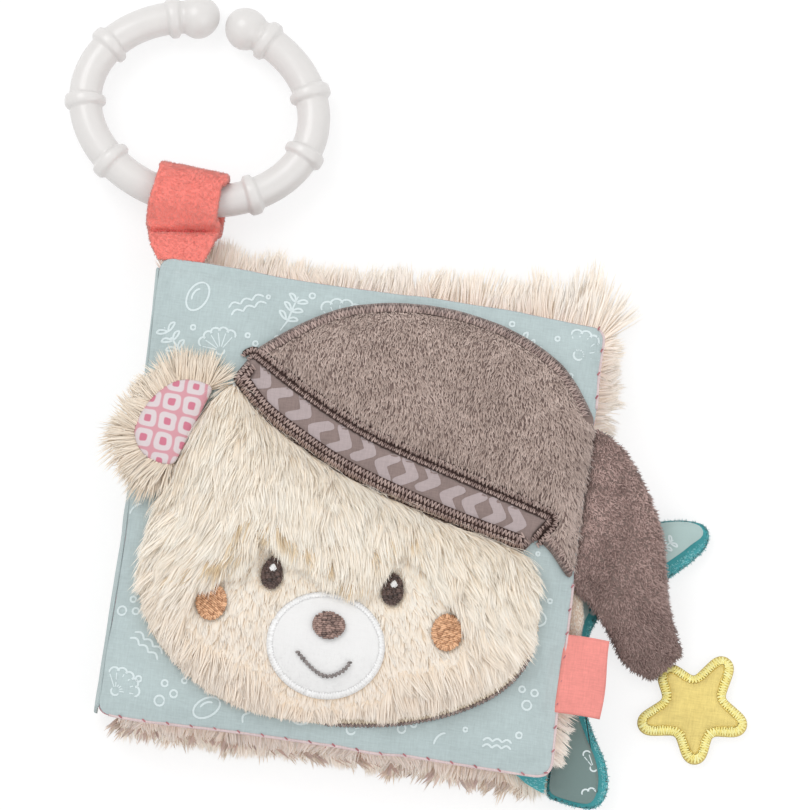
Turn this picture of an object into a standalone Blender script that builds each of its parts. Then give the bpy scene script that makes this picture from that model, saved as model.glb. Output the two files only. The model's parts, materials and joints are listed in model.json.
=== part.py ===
"""A crinkle cloth book for a baby, lying closed on its plush back cover.

+X is to the right of the front cover, +Y to its top, +Z up. The origin is the middle of the back
cover's underside. The spine is at -X. A bear's head in a long cap is sewn on the front cover, the
cap's tail and a star hang over the right edge, an open ring hangs in a loop at the top left, and
the tail fin of a plush fish on the inside shows past the right edge.
"""

import math
from functools import cache

import bpy

# Covers and leaf
COVER_SIDE = 0.130
COVER_CORNER = 0.004
EDGE_POWER = 10
CLOTH = 0.0008
PLUSH = 0.0016
FOIL = 0.0003
LAYER_GAP = 0.0003
SEAT_GAP = 0.0004
BACK_SEAM_Z = 0.0045
BACK_PUFF = 0.0025
BACK_FLAT_SHARE = 0.8
FRONT_SEAM_Z = 0.0190
FRONT_PUFF = 0.0037
FRONT_SAG = 0.0027
FOIL_ROOM = 0.0010
LEAF_SEAM_Z = 0.0130
LEAF_SIDE = 0.126
LEAF_PUFF = 0.0012
LEAF_CLOTH = 0.0006
COVER_RING_SHARES = (1, 0.97, 0.93, 0.87, 0.78, 0.55)
FILLING_RING_SHARES = COVER_RING_SHARES[3:]

# Spine
COVER_HINGE_GAP = 0.0006
LEAF_HINGE_GAP = 0.0006
SPINE_WALL = 0.0008
SPINE_LENGTH = 0.128
SPINE_LOW_Z = 0.0030
SPINE_CLEARANCE = 0.0004
SPINE_BELOW_COVER = 0.0013
SPINE_RIB = 0.0021
SPINE_RIB_BELOW_LEAF = 0.0007

# Head, cap and their trims
HEAD_WIDTH = 0.116
HEAD_X = -0.0019
HEAD_Y = -0.0222
HEAD_RIM = 0.0012
HEAD_PUFF = 0.0034
HEAD_RING_SHARES = (1, 0.93, 0.82, 0.6, 0.3)
CAP_RIM = 0.0012
CAP_PUFF = 0.0026
CAP_DRAWN_IN = 0.012
CAP_GAP = 0.0006
CAP_EDGE_INSET = 0.0006
BAND_RIM = 0.0008
BAND_PUFF = 0.0006
ACROSS_CAP_SHARES = (0, 0.08, 0.2, 0.4, 0.6, 0.8, 0.92, 1)
ACROSS_BAND_SHARES = (0, 0.12, 0.5, 0.88, 1)
JAW_SHARES = (
    (0.454, 0.150), (0.470, 0.128), (0.491, 0.083), (0.507, -0.001), (0.502, -0.078),
    (0.474, -0.145), (0.420, -0.203), (0.327, -0.259), (0.208, -0.300), (0.061, -0.322),
    (-0.089, -0.326), (-0.208, -0.310), (-0.310, -0.262), (-0.399, -0.192), (-0.458, -0.105),
    (-0.475, -0.020), (-0.470, 0.065), (-0.447, 0.155), (-0.420, 0.250), (-0.390, 0.348),
    (-0.356, 0.432), (-0.330, 0.464),
)
BAND_LOWER_SHARES = (
    (-0.321, 0.487), (-0.248, 0.412), (-0.150, 0.354), (-0.026, 0.293), (0.125, 0.243),
    (0.285, 0.200), (0.446, 0.165),
)
BAND_UPPER_SHARES = (
    (-0.282, 0.552), (-0.200, 0.502), (-0.100, 0.447), (0.030, 0.388), (0.185, 0.341),
    (0.345, 0.296), (0.504, 0.252),
)
CAP_ARC_SHARES = (
    (-0.272, 0.568), (-0.165, 0.652), (-0.039, 0.715), (0.132, 0.740), (0.320, 0.712),
    (0.478, 0.634), (0.571, 0.518),
)
CAP_CORNER_SHARES = ((0.512, 0.250), (0.498, 0.225), (0.484, 0.198), (0.515, 0.176), (0.565, 0.121))
CAP_SEAM_SHARES = (0.398, 0.295, 0.196, 0.155, 0.119)
MUZZLE_WIDTH = 0.0332
MUZZLE_HEIGHT = 0.0298
MUZZLE_SHARES = (0.002, -0.141)
MUZZLE_RIM = 0.0008
MUZZLE_PUFF = 0.0014
NOSE_WIDTH = 0.0092
NOSE_HEIGHT = 0.0078
NOSE_SHARES = (0.003, -0.096)
NOSE_THICK = 0.0011
MOUTH_SHARES = ((-0.065, -0.169), (-0.019, -0.207), (0.020, -0.219), (0.056, -0.198), (0.070, -0.172))
MOUTH_WIDTH = 0.0016
MOUTH_THICK = 0.0007
EYE_WIDTH = 0.0060
EYE_HEIGHT = 0.0090
EYE_THICK = 0.0011
LEFT_EYE_SHARES = (-0.154, 0.016)
RIGHT_EYE_SHARES = (0.145, 0.018)
CHEEK_WIDTH = 0.0076
CHEEK_HEIGHT = 0.0094
CHEEK_THICK = 0.0007
LEFT_CHEEK_SHARES = (-0.291, -0.075)
RIGHT_CHEEK_SHARES = (0.291, -0.068)
TRIM_CROWN = 0.0006

# Ear
EAR_SHARES = (-0.394, 0.354)
EAR_SLANT = math.radians(71.7)
EAR_SIZE = 0.0130
EAR_BACK_MARGIN = 0.0005
EAR_START = 0.0008
EAR_HINGE_RISE = 0.0014
EAR_CROWN = 0.0008
EAR_CENTRE_SHARES = (-0.08, 0.55)
EAR_OUTLINE_SHARES = (
    (0.910, 0.060), (0.899, 0.348), (0.791, 0.662), (0.564, 0.916), (0.178, 1.091),
    (-0.238, 1.177), (-0.556, 1.165), (-0.765, 1.085), (-0.964, 0.887), (-1.085, 0.581),
    (-1.037, 0.237), (-0.950, 0.060),
)

# Flaps sewn in a seam: the cap's tail, the star, the label, the loop and the fin
FLAP_HINGE_GAP = 0.0005
FLAP_START = 0.0009
FLAP_ROOT_LAYER = 0.0004
FLAP_ROOT_GAP = 0.0002

# Cap tail and star
TAIL_LENGTH = 0.070
TAIL_PLUSH = 0.0009
TAIL_PUFF = 0.0028
TAIL_ROOT_Y = 0.014
TAIL_LEFT_SHARES = (
    (0.000, -0.121), (0.029, -0.154), (0.079, -0.197), (0.140, -0.257), (0.221, -0.343),
    (0.300, -0.410), (0.357, -0.437),
)
TAIL_RIGHT_SHARES = (
    (0.000, 0.521), (0.129, 0.450), (0.250, 0.293), (0.343, 0.107), (0.394, -0.136),
    (0.447, -0.250), (0.471, -0.311),
)
TAIL_SINK_SHARES = (0, 0.13, 0.25, 0.31, 0.47, 0.68, 0.83)
TAIL_PUFF_SHARES = (0, 0.55, 0.85, 1.0, 0.9, 0.7, 0.3)
ACROSS_TAIL_SHARES = (0, 0.07, 0.2, 0.5, 0.8, 0.93, 1)
STAR_TIP_RADIUS = 0.0170
STAR_VALLEY_SHARE = 0.60
STAR_TIPS = ((134.2, 0.956), (64.5, 1.107), (-12.4, 0.982), (-81.7, 0.986), (-154.6, 1.06))
STAR_ROOT_INSET = 0.0065
STAR_HINGE_GAP = 0.00035
STAR_START = 0.0007
STAR_Z = 0.0017
STAR_CLOTH = 0.0004
STAR_PUFF = 0.0009

# Label
LABEL_LENGTH = 0.0124
LABEL_WIDTH = 0.0226
LABEL_Y = -0.0356
LABEL_THICK = 0.0012

# Hanging loop and ring
LOOP_WIDTH = 0.0201
LOOP_BASE_WIDTH = 0.0132
LOOP_X = -0.0596
LOOP_REACH = 0.0216
LOOP_BORE_RADIUS = 0.0073
LOOP_THICK = 0.0021
LOOP_LIFT = 0.0003
LOOP_TURN = math.radians(-3.5)
RING_TURN = math.radians(-5.8)
RING_SHIFT = 0.0042
RING_HALF_LENGTH = 0.03335
RING_HALF_WIDTH = 0.0270
ROD_RADIUS = 0.00475
RIB_RADIUS = 0.0060
RIB_HALF_WIDTH = 0.00145
RIB_COUNT = 9
RIB_STEP = math.radians(38.8)
BALL_RADIUS = 0.0062
BALL_TURN = math.radians(-77.7)
FAR_LIFT = 0.0002
RING_SIDES = 10

# Fish and its fin
FISH_X = 0.006
FISH_Y = -0.020
FISH_HALF_LENGTH = 0.040
FISH_HALF_WIDTH = 0.026
FISH_TILT = math.radians(-10)
FISH_RIM = 0.0008
FISH_PUFF = 0.0014
FIN_Z = 0.0094
FIN_SPAN = 0.085
FIN_Y = -0.028
FIN_FOLD_GAP = 0.0012
FIN_PRINT = 0.0007
FIN_WADDING = 0.0006
FIN_PLUSH = 0.0009
FIN_DROOP_SHARE = 0.16
FIN_ROOT_HALF_THICK = 0.0004
FIN_ROOT_THICK = 0.0020
FIN_STEM_HALF_WIDTH = 0.008
FIN_STEM_GAP = 0.0006
FIN_HINGE_SHARES = (-0.49, 0.28)
FIN_OUTER_SHARES = (
    (0.034, -0.495), (0.155, -0.505), (0.191, -0.438), (0.166, -0.339), (0.088, -0.206),
    (0.052, -0.012), (0.091, 0.173), (0.292, 0.308), (0.398, 0.424), (0.408, 0.469),
    (0.386, 0.505), (0.241, 0.487), (0.099, 0.367),
)
FIN_FAN_SHARES = (0, 0.03, 0.08, 0.16, 0.3, 0.5, 0.68, 0.78, 0.85, 0.89, 0.92, 0.96, 1)
FIN_LOWER_LOBE_SHARES = ((-0.13, -0.425), (-0.08, -0.46))
ACROSS_FIN_SHARES = (0, 0.15, 0.6, 1)

TEAL = (0.46, 0.60, 0.60, 1)
PINK = (0.86, 0.55, 0.58, 1)
CREAM = (0.83, 0.74, 0.60, 1)
TAUPE = (0.27, 0.22, 0.20, 1)
BROWN = (0.09, 0.05, 0.04, 1)
COPPER = (0.52, 0.25, 0.13, 1)
WHITE = (0.86, 0.86, 0.84, 1)
YELLOW = (0.86, 0.72, 0.30, 1)
CORAL = (0.86, 0.28, 0.23, 1)
TURQUOISE = (0.10, 0.50, 0.52, 1)
SILVER = (0.75, 0.75, 0.77, 1)

COVER_HALF = COVER_SIDE / 2
HALF_GAP = LAYER_GAP / 2


def along(points, steps):
    """A smooth open curve through points, with steps places for each span."""
    ends = [points[0], *points, points[-1]]
    curve = []
    for a, b, c, d in zip(ends, ends[1:], ends[2:], ends[3:], strict=False):
        for k in range(steps):
            t = k / steps
            curve.append(tuple(smooth(p, q, r, s, t) for p, q, r, s in zip(a, b, c, d)))
    return curve + [tuple(points[-1])]


def smooth(a, b, c, d, t):
    """The Catmull-Rom value between b and c."""
    turn = 2 * a - 5 * b + 4 * c - d
    bend = 3 * b - a - 3 * c + d
    return b + t / 2 * (c - a + t * (turn + t * bend))


def scaled(shares, origin, size):
    return [(origin[0] + x * size, origin[1] + y * size) for x, y in shares]


def head_points(shares):
    return scaled(shares, (HEAD_X, HEAD_Y), HEAD_WIDTH)


def area(loop):
    pairs = zip(loop, [*loop[1:], loop[0]])
    return sum(a[0] * b[1] - b[0] * a[1] for a, b in pairs) / 2


def disc(outline, centre, shares):
    """Rings of flat points drawn in from an outline to its centre: points, triangles and rim."""
    loop = outline if area(outline) > 0 else outline[::-1]
    n = len(loop)
    points = [
        (centre[0] + (x - centre[0]) * s, centre[1] + (y - centre[1]) * s)
        for s in shares
        for x, y in loop
    ]
    points.append(tuple(centre))
    faces = []
    for k in range(len(shares) - 1):
        for i in range(n):
            a, b = k * n + i, k * n + (i + 1) % n
            faces += [(a, b, b + n), (a, b + n, a + n)]
    last = (len(shares) - 1) * n
    faces += [(last + i, last + (i + 1) % n, len(points) - 1) for i in range(n)]
    return points, faces, list(range(n))


def sheet(lower, upper, shares):
    """Rows of flat points from a lower curve to an upper one: points, triangles and rim."""
    rows, columns = len(lower), len(shares)
    points = [
        (a[0] + (b[0] - a[0]) * s, a[1] + (b[1] - a[1]) * s)
        for a, b in zip(lower, upper)
        for s in shares
    ]
    faces = []
    for i in range(rows - 1):
        for j in range(columns - 1):
            a, b = i * columns + j, (i + 1) * columns + j
            faces += [(a, b, b + 1), (a, b + 1, a + 1)]
    first = [i * columns for i in range(rows)]
    last = [i * columns + columns - 1 for i in range(rows)]
    rim = first + list(range(first[-1] + 1, last[-1])) + last[::-1]
    rim += list(range(columns - 2, 0, -1))
    if area([points[i] for i in rim]) < 0:
        faces = [face[::-1] for face in faces]
        rim = rim[::-1]
    return points, faces, rim


def material(name, colour, roughness, metallic=0):
    made = bpy.data.materials.new(name)
    made.use_nodes = True
    made.diffuse_color = colour
    shader = made.node_tree.nodes["Principled BSDF"]
    shader.inputs["Base Color"].default_value = colour
    shader.inputs["Roughness"].default_value = roughness
    shader.inputs["Metallic"].default_value = metallic
    return made


def pivot(name, place, parent=None):
    """An empty on a joint's axis, which carries the pieces that turn there."""
    made = bpy.data.objects.new(name, None)
    made.empty_display_size = COVER_CORNER
    bpy.context.collection.objects.link(made)
    made["place"] = place
    made.parent = parent
    start = parent["place"] if parent else (0, 0, 0)
    made.location = [a - b for a, b in zip(place, start)]
    return made


def piece(name, points, faces, colour, parent=None, roughness=0.9, metallic=0):
    """One solid of the book, from points in the book's frame."""
    start = parent["place"] if parent else (0, 0, 0)
    mesh = bpy.data.meshes.new(name)
    local = [tuple(a - b for a, b in zip(point, start)) for point in points]
    mesh.from_pydata(local, [], faces)
    mesh.shade_smooth()
    mesh.set_sharp_from_angle(angle=math.radians(40))
    mesh.materials.append(material(name, colour, roughness, metallic))
    made = bpy.data.objects.new(name, mesh)
    bpy.context.collection.objects.link(made)
    made.parent = parent
    return made


def layer(name, flat, low, high, colour, parent=None):
    """A closed body between two heights over flat points. A height is a list or a function."""
    points, faces, rim = flat
    n = len(points)
    lows = low if isinstance(low, list) else [low(x, y) for x, y in points]
    highs = high if isinstance(high, list) else [high(x, y) for x, y in points]
    solid = [(x, y, z) for (x, y), z in zip(points, lows)]
    solid += [(x, y, z) for (x, y), z in zip(points, highs)]
    skin = [face[::-1] for face in faces]
    skin += [tuple(i + n for i in face) for face in faces]
    for i, j in zip(rim, [*rim[1:], rim[0]]):
        skin += [(i, j, j + n), (i, j + n, i + n)]
    return piece(name, solid, skin, colour, parent)


def rounded_square(side, corner, x=0):
    """A square's outline with two spans on each side and three round each corner."""
    reach = side / 2 - corner
    loop = []
    for quarter in range(4):
        turn = quarter * math.pi / 2
        for k in range(4):
            a = turn - math.pi / 4 + math.pi / 2 + (k / 3 - 1 / 2) * math.pi / 2
            cx = reach * math.copysign(1, math.cos(turn + math.pi / 4))
            cy = reach * math.copysign(1, math.sin(turn + math.pi / 4))
            loop.append((x + cx + corner * math.cos(a), cy + corner * math.sin(a)))
        middle = turn + math.pi / 2
        loop.append((x + side / 2 * round(math.cos(middle)), side / 2 * round(math.sin(middle))))
    return loop


def puff(x, y, half=COVER_HALF):
    """How full a padded square is: 1 over its middle, and 0 at its seam."""
    return 1 - min(1, max(abs(x), abs(y)) / half) ** EDGE_POWER


def cover_top(x, y):
    return FRONT_SEAM_Z + HALF_GAP + CLOTH + FRONT_PUFF * puff(x, y)


def back_top(x, y):
    return BACK_SEAM_Z + HALF_GAP + CLOTH + BACK_PUFF * puff(x, y)


def build_back_cover():
    loop = rounded_square(COVER_SIDE, COVER_CORNER)
    flat = disc(loop, (0, 0), COVER_RING_SHARES)
    inner = disc(scaled(loop, (0, 0), FILLING_RING_SHARES[0]), (0, 0),
                 [s / FILLING_RING_SHARES[0] for s in FILLING_RING_SHARES])
    drop = BACK_SEAM_Z - HALF_GAP - PLUSH

    def under(x, y):
        return drop * (1 - min(1, puff(x, y) / BACK_FLAT_SHARE))

    def filled(x, y):
        return BACK_SEAM_Z + (BACK_PUFF - FOIL_ROOM) * puff(x, y)

    layer("back_cover_plush", flat, under, lambda x, y: under(x, y) + PLUSH, CREAM)
    layer("back_cover_lining", flat, lambda x, y: back_top(x, y) - CLOTH, back_top, PINK)
    layer("back_cover_wadding", inner, lambda x, y: under(x, y) + PLUSH + LAYER_GAP, filled, WHITE)
    layer("back_cover_foil", inner, lambda x, y: filled(x, y) + LAYER_GAP,
          lambda x, y: filled(x, y) + LAYER_GAP + FOIL, SILVER)


def build_fish():
    turn = [2 * math.pi * k / 24 for k in range(24)]
    along_fish = [(FISH_HALF_LENGTH * math.cos(a), FISH_HALF_WIDTH * math.sin(a)) for a in turn]
    tilt = (math.cos(FISH_TILT), math.sin(FISH_TILT))
    loop = [
        (FISH_X + x * tilt[0] - y * tilt[1], FISH_Y + x * tilt[1] + y * tilt[0])
        for x, y in along_fish
    ]
    flat = disc(loop, (FISH_X, FISH_Y), (1, 0.85, 0.5))

    def bottom(x, y):
        return back_top(x, y) + LAYER_GAP

    def top(x, y):
        share = share_in(loop, (FISH_X, FISH_Y), x, y)
        return bottom(x, y) + FISH_RIM + FISH_PUFF * (1 - share**2)

    layer("fish_body", flat, bottom, top, TURQUOISE)


def share_in(loop, centre, x, y):
    """How far a place is from the centre towards the outline: 0 at the centre, 1 on the outline."""
    dx, dy = x - centre[0], y - centre[1]
    if math.hypot(dx, dy) < LAYER_GAP:
        return 0
    for a, b in zip(loop, [*loop[1:], loop[0]]):
        ax, ay, bx, by = a[0] - centre[0], a[1] - centre[1], b[0] - centre[0], b[1] - centre[1]
        across = dx * (by - ay) - dy * (bx - ax)
        if across == 0:
            continue
        reach = (ax * by - ay * bx) / across
        place = (dy * ax - dx * ay) / across
        if reach > 0 and -0.001 <= place <= 1.001:
            return min(1, 1 / reach)
    return 1


def edge_distance(loop, x, y):
    nearest = COVER_SIDE
    for a, b in zip(loop, [*loop[1:], loop[0]]):
        ux, uy = b[0] - a[0], b[1] - a[1]
        long = ux * ux + uy * uy
        t = min(1, max(0, ((x - a[0]) * ux + (y - a[1]) * uy) / long)) if long else 0
        nearest = min(nearest, math.hypot(a[0] + t * ux - x, a[1] + t * uy - y))
    return nearest


def build_spine():
    """The binding: a wall outside the back cover's edge, with a rib that carries the leaf."""
    right = -COVER_HALF - SPINE_CLEARANCE
    left = right - SPINE_WALL
    top = FRONT_SEAM_Z - SPINE_BELOW_COVER
    leaf_left = leaf_hinge_x() + LEAF_HINGE_GAP
    rib_right = leaf_left - SPINE_CLEARANCE
    rib_top = LEAF_SEAM_Z - SPINE_RIB_BELOW_LEAF
    profile = [
        (left, SPINE_LOW_Z), (right, SPINE_LOW_Z), (right, rib_top - SPINE_RIB),
        (rib_right, rib_top - SPINE_RIB), (rib_right, rib_top), (right, rib_top), (right, top),
        (left, top),
    ]
    n = len(profile)
    ends = (-SPINE_LENGTH / 2, SPINE_LENGTH / 2)
    points = [(x, y, z) for y in ends for x, z in profile]
    faces = [tuple(range(n)), tuple(range(2 * n - 1, n - 1, -1))]
    faces += [(i, n + i, n + (i + 1) % n, (i + 1) % n) for i in range(n)]
    piece("spine_binding", points, faces, TEAL)


def leaf_hinge_x():
    return COVER_HALF - COVER_CORNER / 4 - LEAF_SIDE - LEAF_HINGE_GAP


def build_leaf(hinge):
    middle = leaf_hinge_x() + LEAF_HINGE_GAP + LEAF_SIDE / 2
    loop = rounded_square(LEAF_SIDE, COVER_CORNER, middle)
    flat = disc(loop, (middle, 0), COVER_RING_SHARES)
    inner = disc(scaled([(x - middle, y) for x, y in loop], (middle, 0), FILLING_RING_SHARES[0]),
                 (middle, 0), [s / FILLING_RING_SHARES[0] for s in FILLING_RING_SHARES])

    def rise(x, y):
        return HALF_GAP + LEAF_PUFF * puff(x - middle, y, LEAF_SIDE / 2)

    layer("leaf_front_panel", flat, lambda x, y: LEAF_SEAM_Z + rise(x, y),
          lambda x, y: LEAF_SEAM_Z + rise(x, y) + LEAF_CLOTH, WHITE, hinge)
    layer("leaf_back_panel", flat, lambda x, y: LEAF_SEAM_Z - rise(x, y) - LEAF_CLOTH,
          lambda x, y: LEAF_SEAM_Z - rise(x, y), PINK, hinge)
    layer("leaf_crinkle_foil", inner, lambda x, y: LEAF_SEAM_Z - FOIL / 2,
          lambda x, y: LEAF_SEAM_Z + FOIL / 2, SILVER, hinge)


def build_front_cover(hinge):
    loop = rounded_square(COVER_SIDE, COVER_CORNER)
    flat = disc(loop, (0, 0), COVER_RING_SHARES)
    inner = disc(scaled(loop, (0, 0), FILLING_RING_SHARES[0]), (0, 0),
                 [s / FILLING_RING_SHARES[0] for s in FILLING_RING_SHARES])

    def lining_top(x, y):
        return FRONT_SEAM_Z - HALF_GAP - FRONT_SAG * puff(x, y)

    def filled(x, y):
        return FRONT_SEAM_Z + (FRONT_PUFF - FOIL_ROOM) * puff(x, y)

    layer("front_cover_outer", flat, lambda x, y: cover_top(x, y) - CLOTH, cover_top, TEAL, hinge)
    layer("front_cover_lining", flat, lambda x, y: lining_top(x, y) - CLOTH, lining_top, PINK, hinge)
    layer("front_cover_wadding", inner, lambda x, y: lining_top(x, y) + LAYER_GAP, filled, WHITE, hinge)
    layer("front_cover_foil", inner, lambda x, y: filled(x, y) + LAYER_GAP,
          lambda x, y: filled(x, y) + LAYER_GAP + FOIL, SILVER, hinge)


def head_base(x, y):
    return cover_top(x, y) + SEAT_GAP


@cache
def head_outline():
    band = along(head_points(BAND_LOWER_SHARES), 2)
    return along(head_points(JAW_SHARES), 2) + [(x, y - CAP_GAP) for x, y in band]


def head_top(x, y):
    share = share_in(head_outline(), (HEAD_X, HEAD_Y), x, y)
    return head_base(x, y) + HEAD_RIM + HEAD_PUFF * (1 - share**3)


def oval(centre, width, height, count=16):
    return [
        (centre[0] + width / 2 * math.cos(2 * math.pi * k / count),
         centre[1] + height / 2 * math.sin(2 * math.pi * k / count))
        for k in range(count)
    ]


def muzzle_top(x, y):
    centre = head_points([MUZZLE_SHARES])[0]
    share = min(1, math.hypot((x - centre[0]) / MUZZLE_WIDTH, (y - centre[1]) / MUZZLE_HEIGHT) * 2)
    return head_top(x, y) + SEAT_GAP + MUZZLE_RIM + MUZZLE_PUFF * (1 - share**2)


def trim(name, shares, width, height, thick, under, colour, hinge, tip=0):
    """A padded oval of stitches on what is under it. A tip narrows its lower end."""
    centre = head_points([shares])[0]
    loop = [
        (centre[0] + (x - centre[0]) * (1 + tip * (y - centre[1]) / height), y)
        for x, y in oval(centre, width, height)
    ]
    flat = disc(loop, centre, (1, 0.6))

    def top(x, y):
        share = share_in(loop, centre, x, y)
        return under(x, y) + LAYER_GAP + thick + TRIM_CROWN * (1 - share**2)

    layer(name, flat, lambda x, y: under(x, y) + LAYER_GAP, top, colour, hinge)


def build_head(hinge):
    outline = head_outline()
    flat = disc(outline, (HEAD_X, HEAD_Y), HEAD_RING_SHARES)
    layer("face_plush", flat, head_base, head_top, CREAM, hinge)
    centre = head_points([MUZZLE_SHARES])[0]
    flat = disc(oval(centre, MUZZLE_WIDTH, MUZZLE_HEIGHT, 24), centre, (1, 0.85, 0.5))
    layer("muzzle", flat, lambda x, y: head_top(x, y) + SEAT_GAP, muzzle_top, WHITE, hinge)
    trim("nose", NOSE_SHARES, NOSE_WIDTH, NOSE_HEIGHT, NOSE_THICK, muzzle_top, BROWN, hinge, 0.5)
    for name, place in (("eye_left", LEFT_EYE_SHARES), ("eye_right", RIGHT_EYE_SHARES)):
        trim(name, place, EYE_WIDTH, EYE_HEIGHT, EYE_THICK, head_top, BROWN, hinge)
    for name, place in (("cheek_left", LEFT_CHEEK_SHARES), ("cheek_right", RIGHT_CHEEK_SHARES)):
        trim(name, place, CHEEK_WIDTH, CHEEK_HEIGHT, CHEEK_THICK, head_top, COPPER, hinge)
    smile = along(head_points(MOUTH_SHARES), 3)
    flat = sheet([(x, y - MOUTH_WIDTH / 2) for x, y in smile],
                 [(x, y + MOUTH_WIDTH / 2) for x, y in smile], (0, 0.5, 1))
    layer("mouth", flat, lambda x, y: muzzle_top(x, y) + LAYER_GAP,
          lambda x, y: muzzle_top(x, y) + LAYER_GAP + MOUTH_THICK, BROWN, hinge)


def build_cap(hinge):
    band_low = along(head_points(BAND_LOWER_SHARES), 3)
    band_high = along(head_points(BAND_UPPER_SHARES), 3)
    flat = sheet(band_low, band_high, ACROSS_BAND_SHARES)
    crown = [BAND_RIM + BAND_PUFF * (1 - (2 * s - 1) ** 4) for s in ACROSS_BAND_SHARES]
    high = [
        head_base(x, y) + crown[i % len(crown)] for i, (x, y) in enumerate(flat[0])
    ]
    layer("cap_band", flat, head_base, high, TAUPE, hinge)
    edge = COVER_HALF - CAP_EDGE_INSET
    lower = [(x, y + CAP_GAP) for x, y in band_high] + head_points(CAP_CORNER_SHARES)
    upper = [(min(x, edge), y) for x, y in along(head_points(CAP_ARC_SHARES), 3)]
    upper += [(edge, HEAD_Y + share * HEAD_WIDTH) for share in CAP_SEAM_SHARES]
    flat = sheet(lower, upper, ACROSS_CAP_SHARES)
    rim = [flat[0][i] for i in flat[2]]

    def top(x, y):
        inward = 1 - min(1, edge_distance(rim, x, y) / CAP_DRAWN_IN)
        return head_base(x, y) + CAP_RIM + CAP_PUFF * (1 - inward**2)

    layer("cap_crown", flat, head_base, top, TAUPE, hinge)


def ear_axis():
    """A place on the ear's fold, the direction along it and the one away from the head."""
    place = head_points([EAR_SHARES])[0]
    fold = (math.cos(EAR_SLANT), math.sin(EAR_SLANT))
    return place, fold, (-fold[1], fold[0])


def build_ear(cover):
    place, fold, out = ear_axis()
    base = FRONT_SEAM_Z + HALF_GAP + CLOTH + FRONT_PUFF + SEAT_GAP
    hinge = pivot("ear_pivot", (*place, base + EAR_HINGE_RISE), cover)

    def spot(s, t):
        return place[0] + s * fold[0] + t * out[0], place[1] + s * fold[1] + t * out[1]

    def shape(size):
        loop = [
            spot(s * size, max(EAR_START, t * size)) for s, t in along(EAR_OUTLINE_SHARES, 2)
        ]
        return loop, spot(EAR_CENTRE_SHARES[0] * size, EAR_CENTRE_SHARES[1] * size)

    loop, centre = shape(EAR_SIZE + EAR_BACK_MARGIN)
    layer("ear_plush_back", disc(loop, centre, (1, 0.6)), lambda x, y: base,
          lambda x, y: base + PLUSH, CREAM, hinge)
    loop, centre = shape(EAR_SIZE)
    low = base + PLUSH + LAYER_GAP

    def top(x, y):
        return low + CLOTH + EAR_CROWN * (1 - share_in(loop, centre, x, y) ** 2)

    layer("ear_print_front", disc(loop, centre, (1, 0.8, 0.4)), lambda x, y: low, top, PINK, hinge)


def tail_edges(steps):
    corner = (COVER_HALF, 0)
    left = along(scaled(TAIL_LEFT_SHARES, corner, TAIL_LENGTH), steps)
    right = along(scaled(TAIL_RIGHT_SHARES, corner, TAIL_LENGTH), steps)
    root = COVER_HALF + FLAP_START
    return [(max(x, root), y) for x, y in left], [(max(x, root), y) for x, y in right]


def build_tail(cover):
    hinge = pivot("tail_pivot", (COVER_HALF + FLAP_HINGE_GAP, TAIL_ROOT_Y, FRONT_SEAM_Z), cover)
    steps = 2
    left, right = tail_edges(steps)
    flat = sheet(left, right, ACROSS_TAIL_SHARES)
    sink = [a for a, _ in along([(s, 0) for s in TAIL_SINK_SHARES], steps)]
    full = [a for a, _ in along([(s, 0) for s in TAIL_PUFF_SHARES], steps)]
    across = len(ACROSS_TAIL_SHARES)
    middle, half, skin, gap = [], [], [], []
    for i in range(len(flat[0])):
        row, s = i // across, ACROSS_TAIL_SHARES[i % across]
        middle.append(FRONT_SEAM_Z * (1 - sink[row]))
        half.append(TAIL_PUFF * max(0, full[row]) * (1 - abs(2 * s - 1) ** 2.5))
        skin.append(TAIL_PLUSH if row else FLAP_ROOT_LAYER)
        gap.append(HALF_GAP if row else FLAP_ROOT_GAP / 2)
    inside = [h + g for h, g in zip(half, gap)]
    outside = [i + s for i, s in zip(inside, skin)]
    layer("cap_tail_front", flat, [m + i for m, i in zip(middle, inside)],
          [m + o for m, o in zip(middle, outside)], TAUPE, hinge)
    layer("cap_tail_back", flat, [m - o for m, o in zip(middle, outside)],
          [m - i for m, i in zip(middle, inside)], TAUPE, hinge)
    build_stuffing(left, right, middle, half, hinge)
    return hinge


def build_stuffing(left, right, middle, half, hinge):
    """The filling, on the same rows as the skins but short of their seams all round."""
    across = len(ACROSS_TAIL_SHARES)
    rows = range(3, len(left) - 2)
    keep = range(1, across - 1)
    flat = sheet([left[i] for i in rows], [right[i] for i in rows],
                 [ACROSS_TAIL_SHARES[j] for j in keep])
    chosen = [i * across + j for i in rows for j in keep]
    low = [middle[i] - half[i] + LAYER_GAP for i in chosen]
    high = [middle[i] + half[i] - LAYER_GAP for i in chosen]
    layer("cap_tail_stuffing", flat, low, high, WHITE, hinge)


def star_frame():
    """The star's hinge place, where its first tip starts and the direction away from the tail."""
    left, right = (edge[-1] for edge in tail_edges(1))
    wide = math.hypot(right[0] - left[0], right[1] - left[1])
    fold = ((right[0] - left[0]) / wide, (right[1] - left[1]) / wide)
    out = (fold[1], -fold[0])
    root = (right[0] - STAR_ROOT_INSET * fold[0], right[1] - STAR_ROOT_INSET * fold[1])
    hinge = (root[0] + STAR_HINGE_GAP * out[0], root[1] + STAR_HINGE_GAP * out[1])
    start = (root[0] + STAR_START * out[0], root[1] + STAR_START * out[1])
    return hinge, start, out


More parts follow.
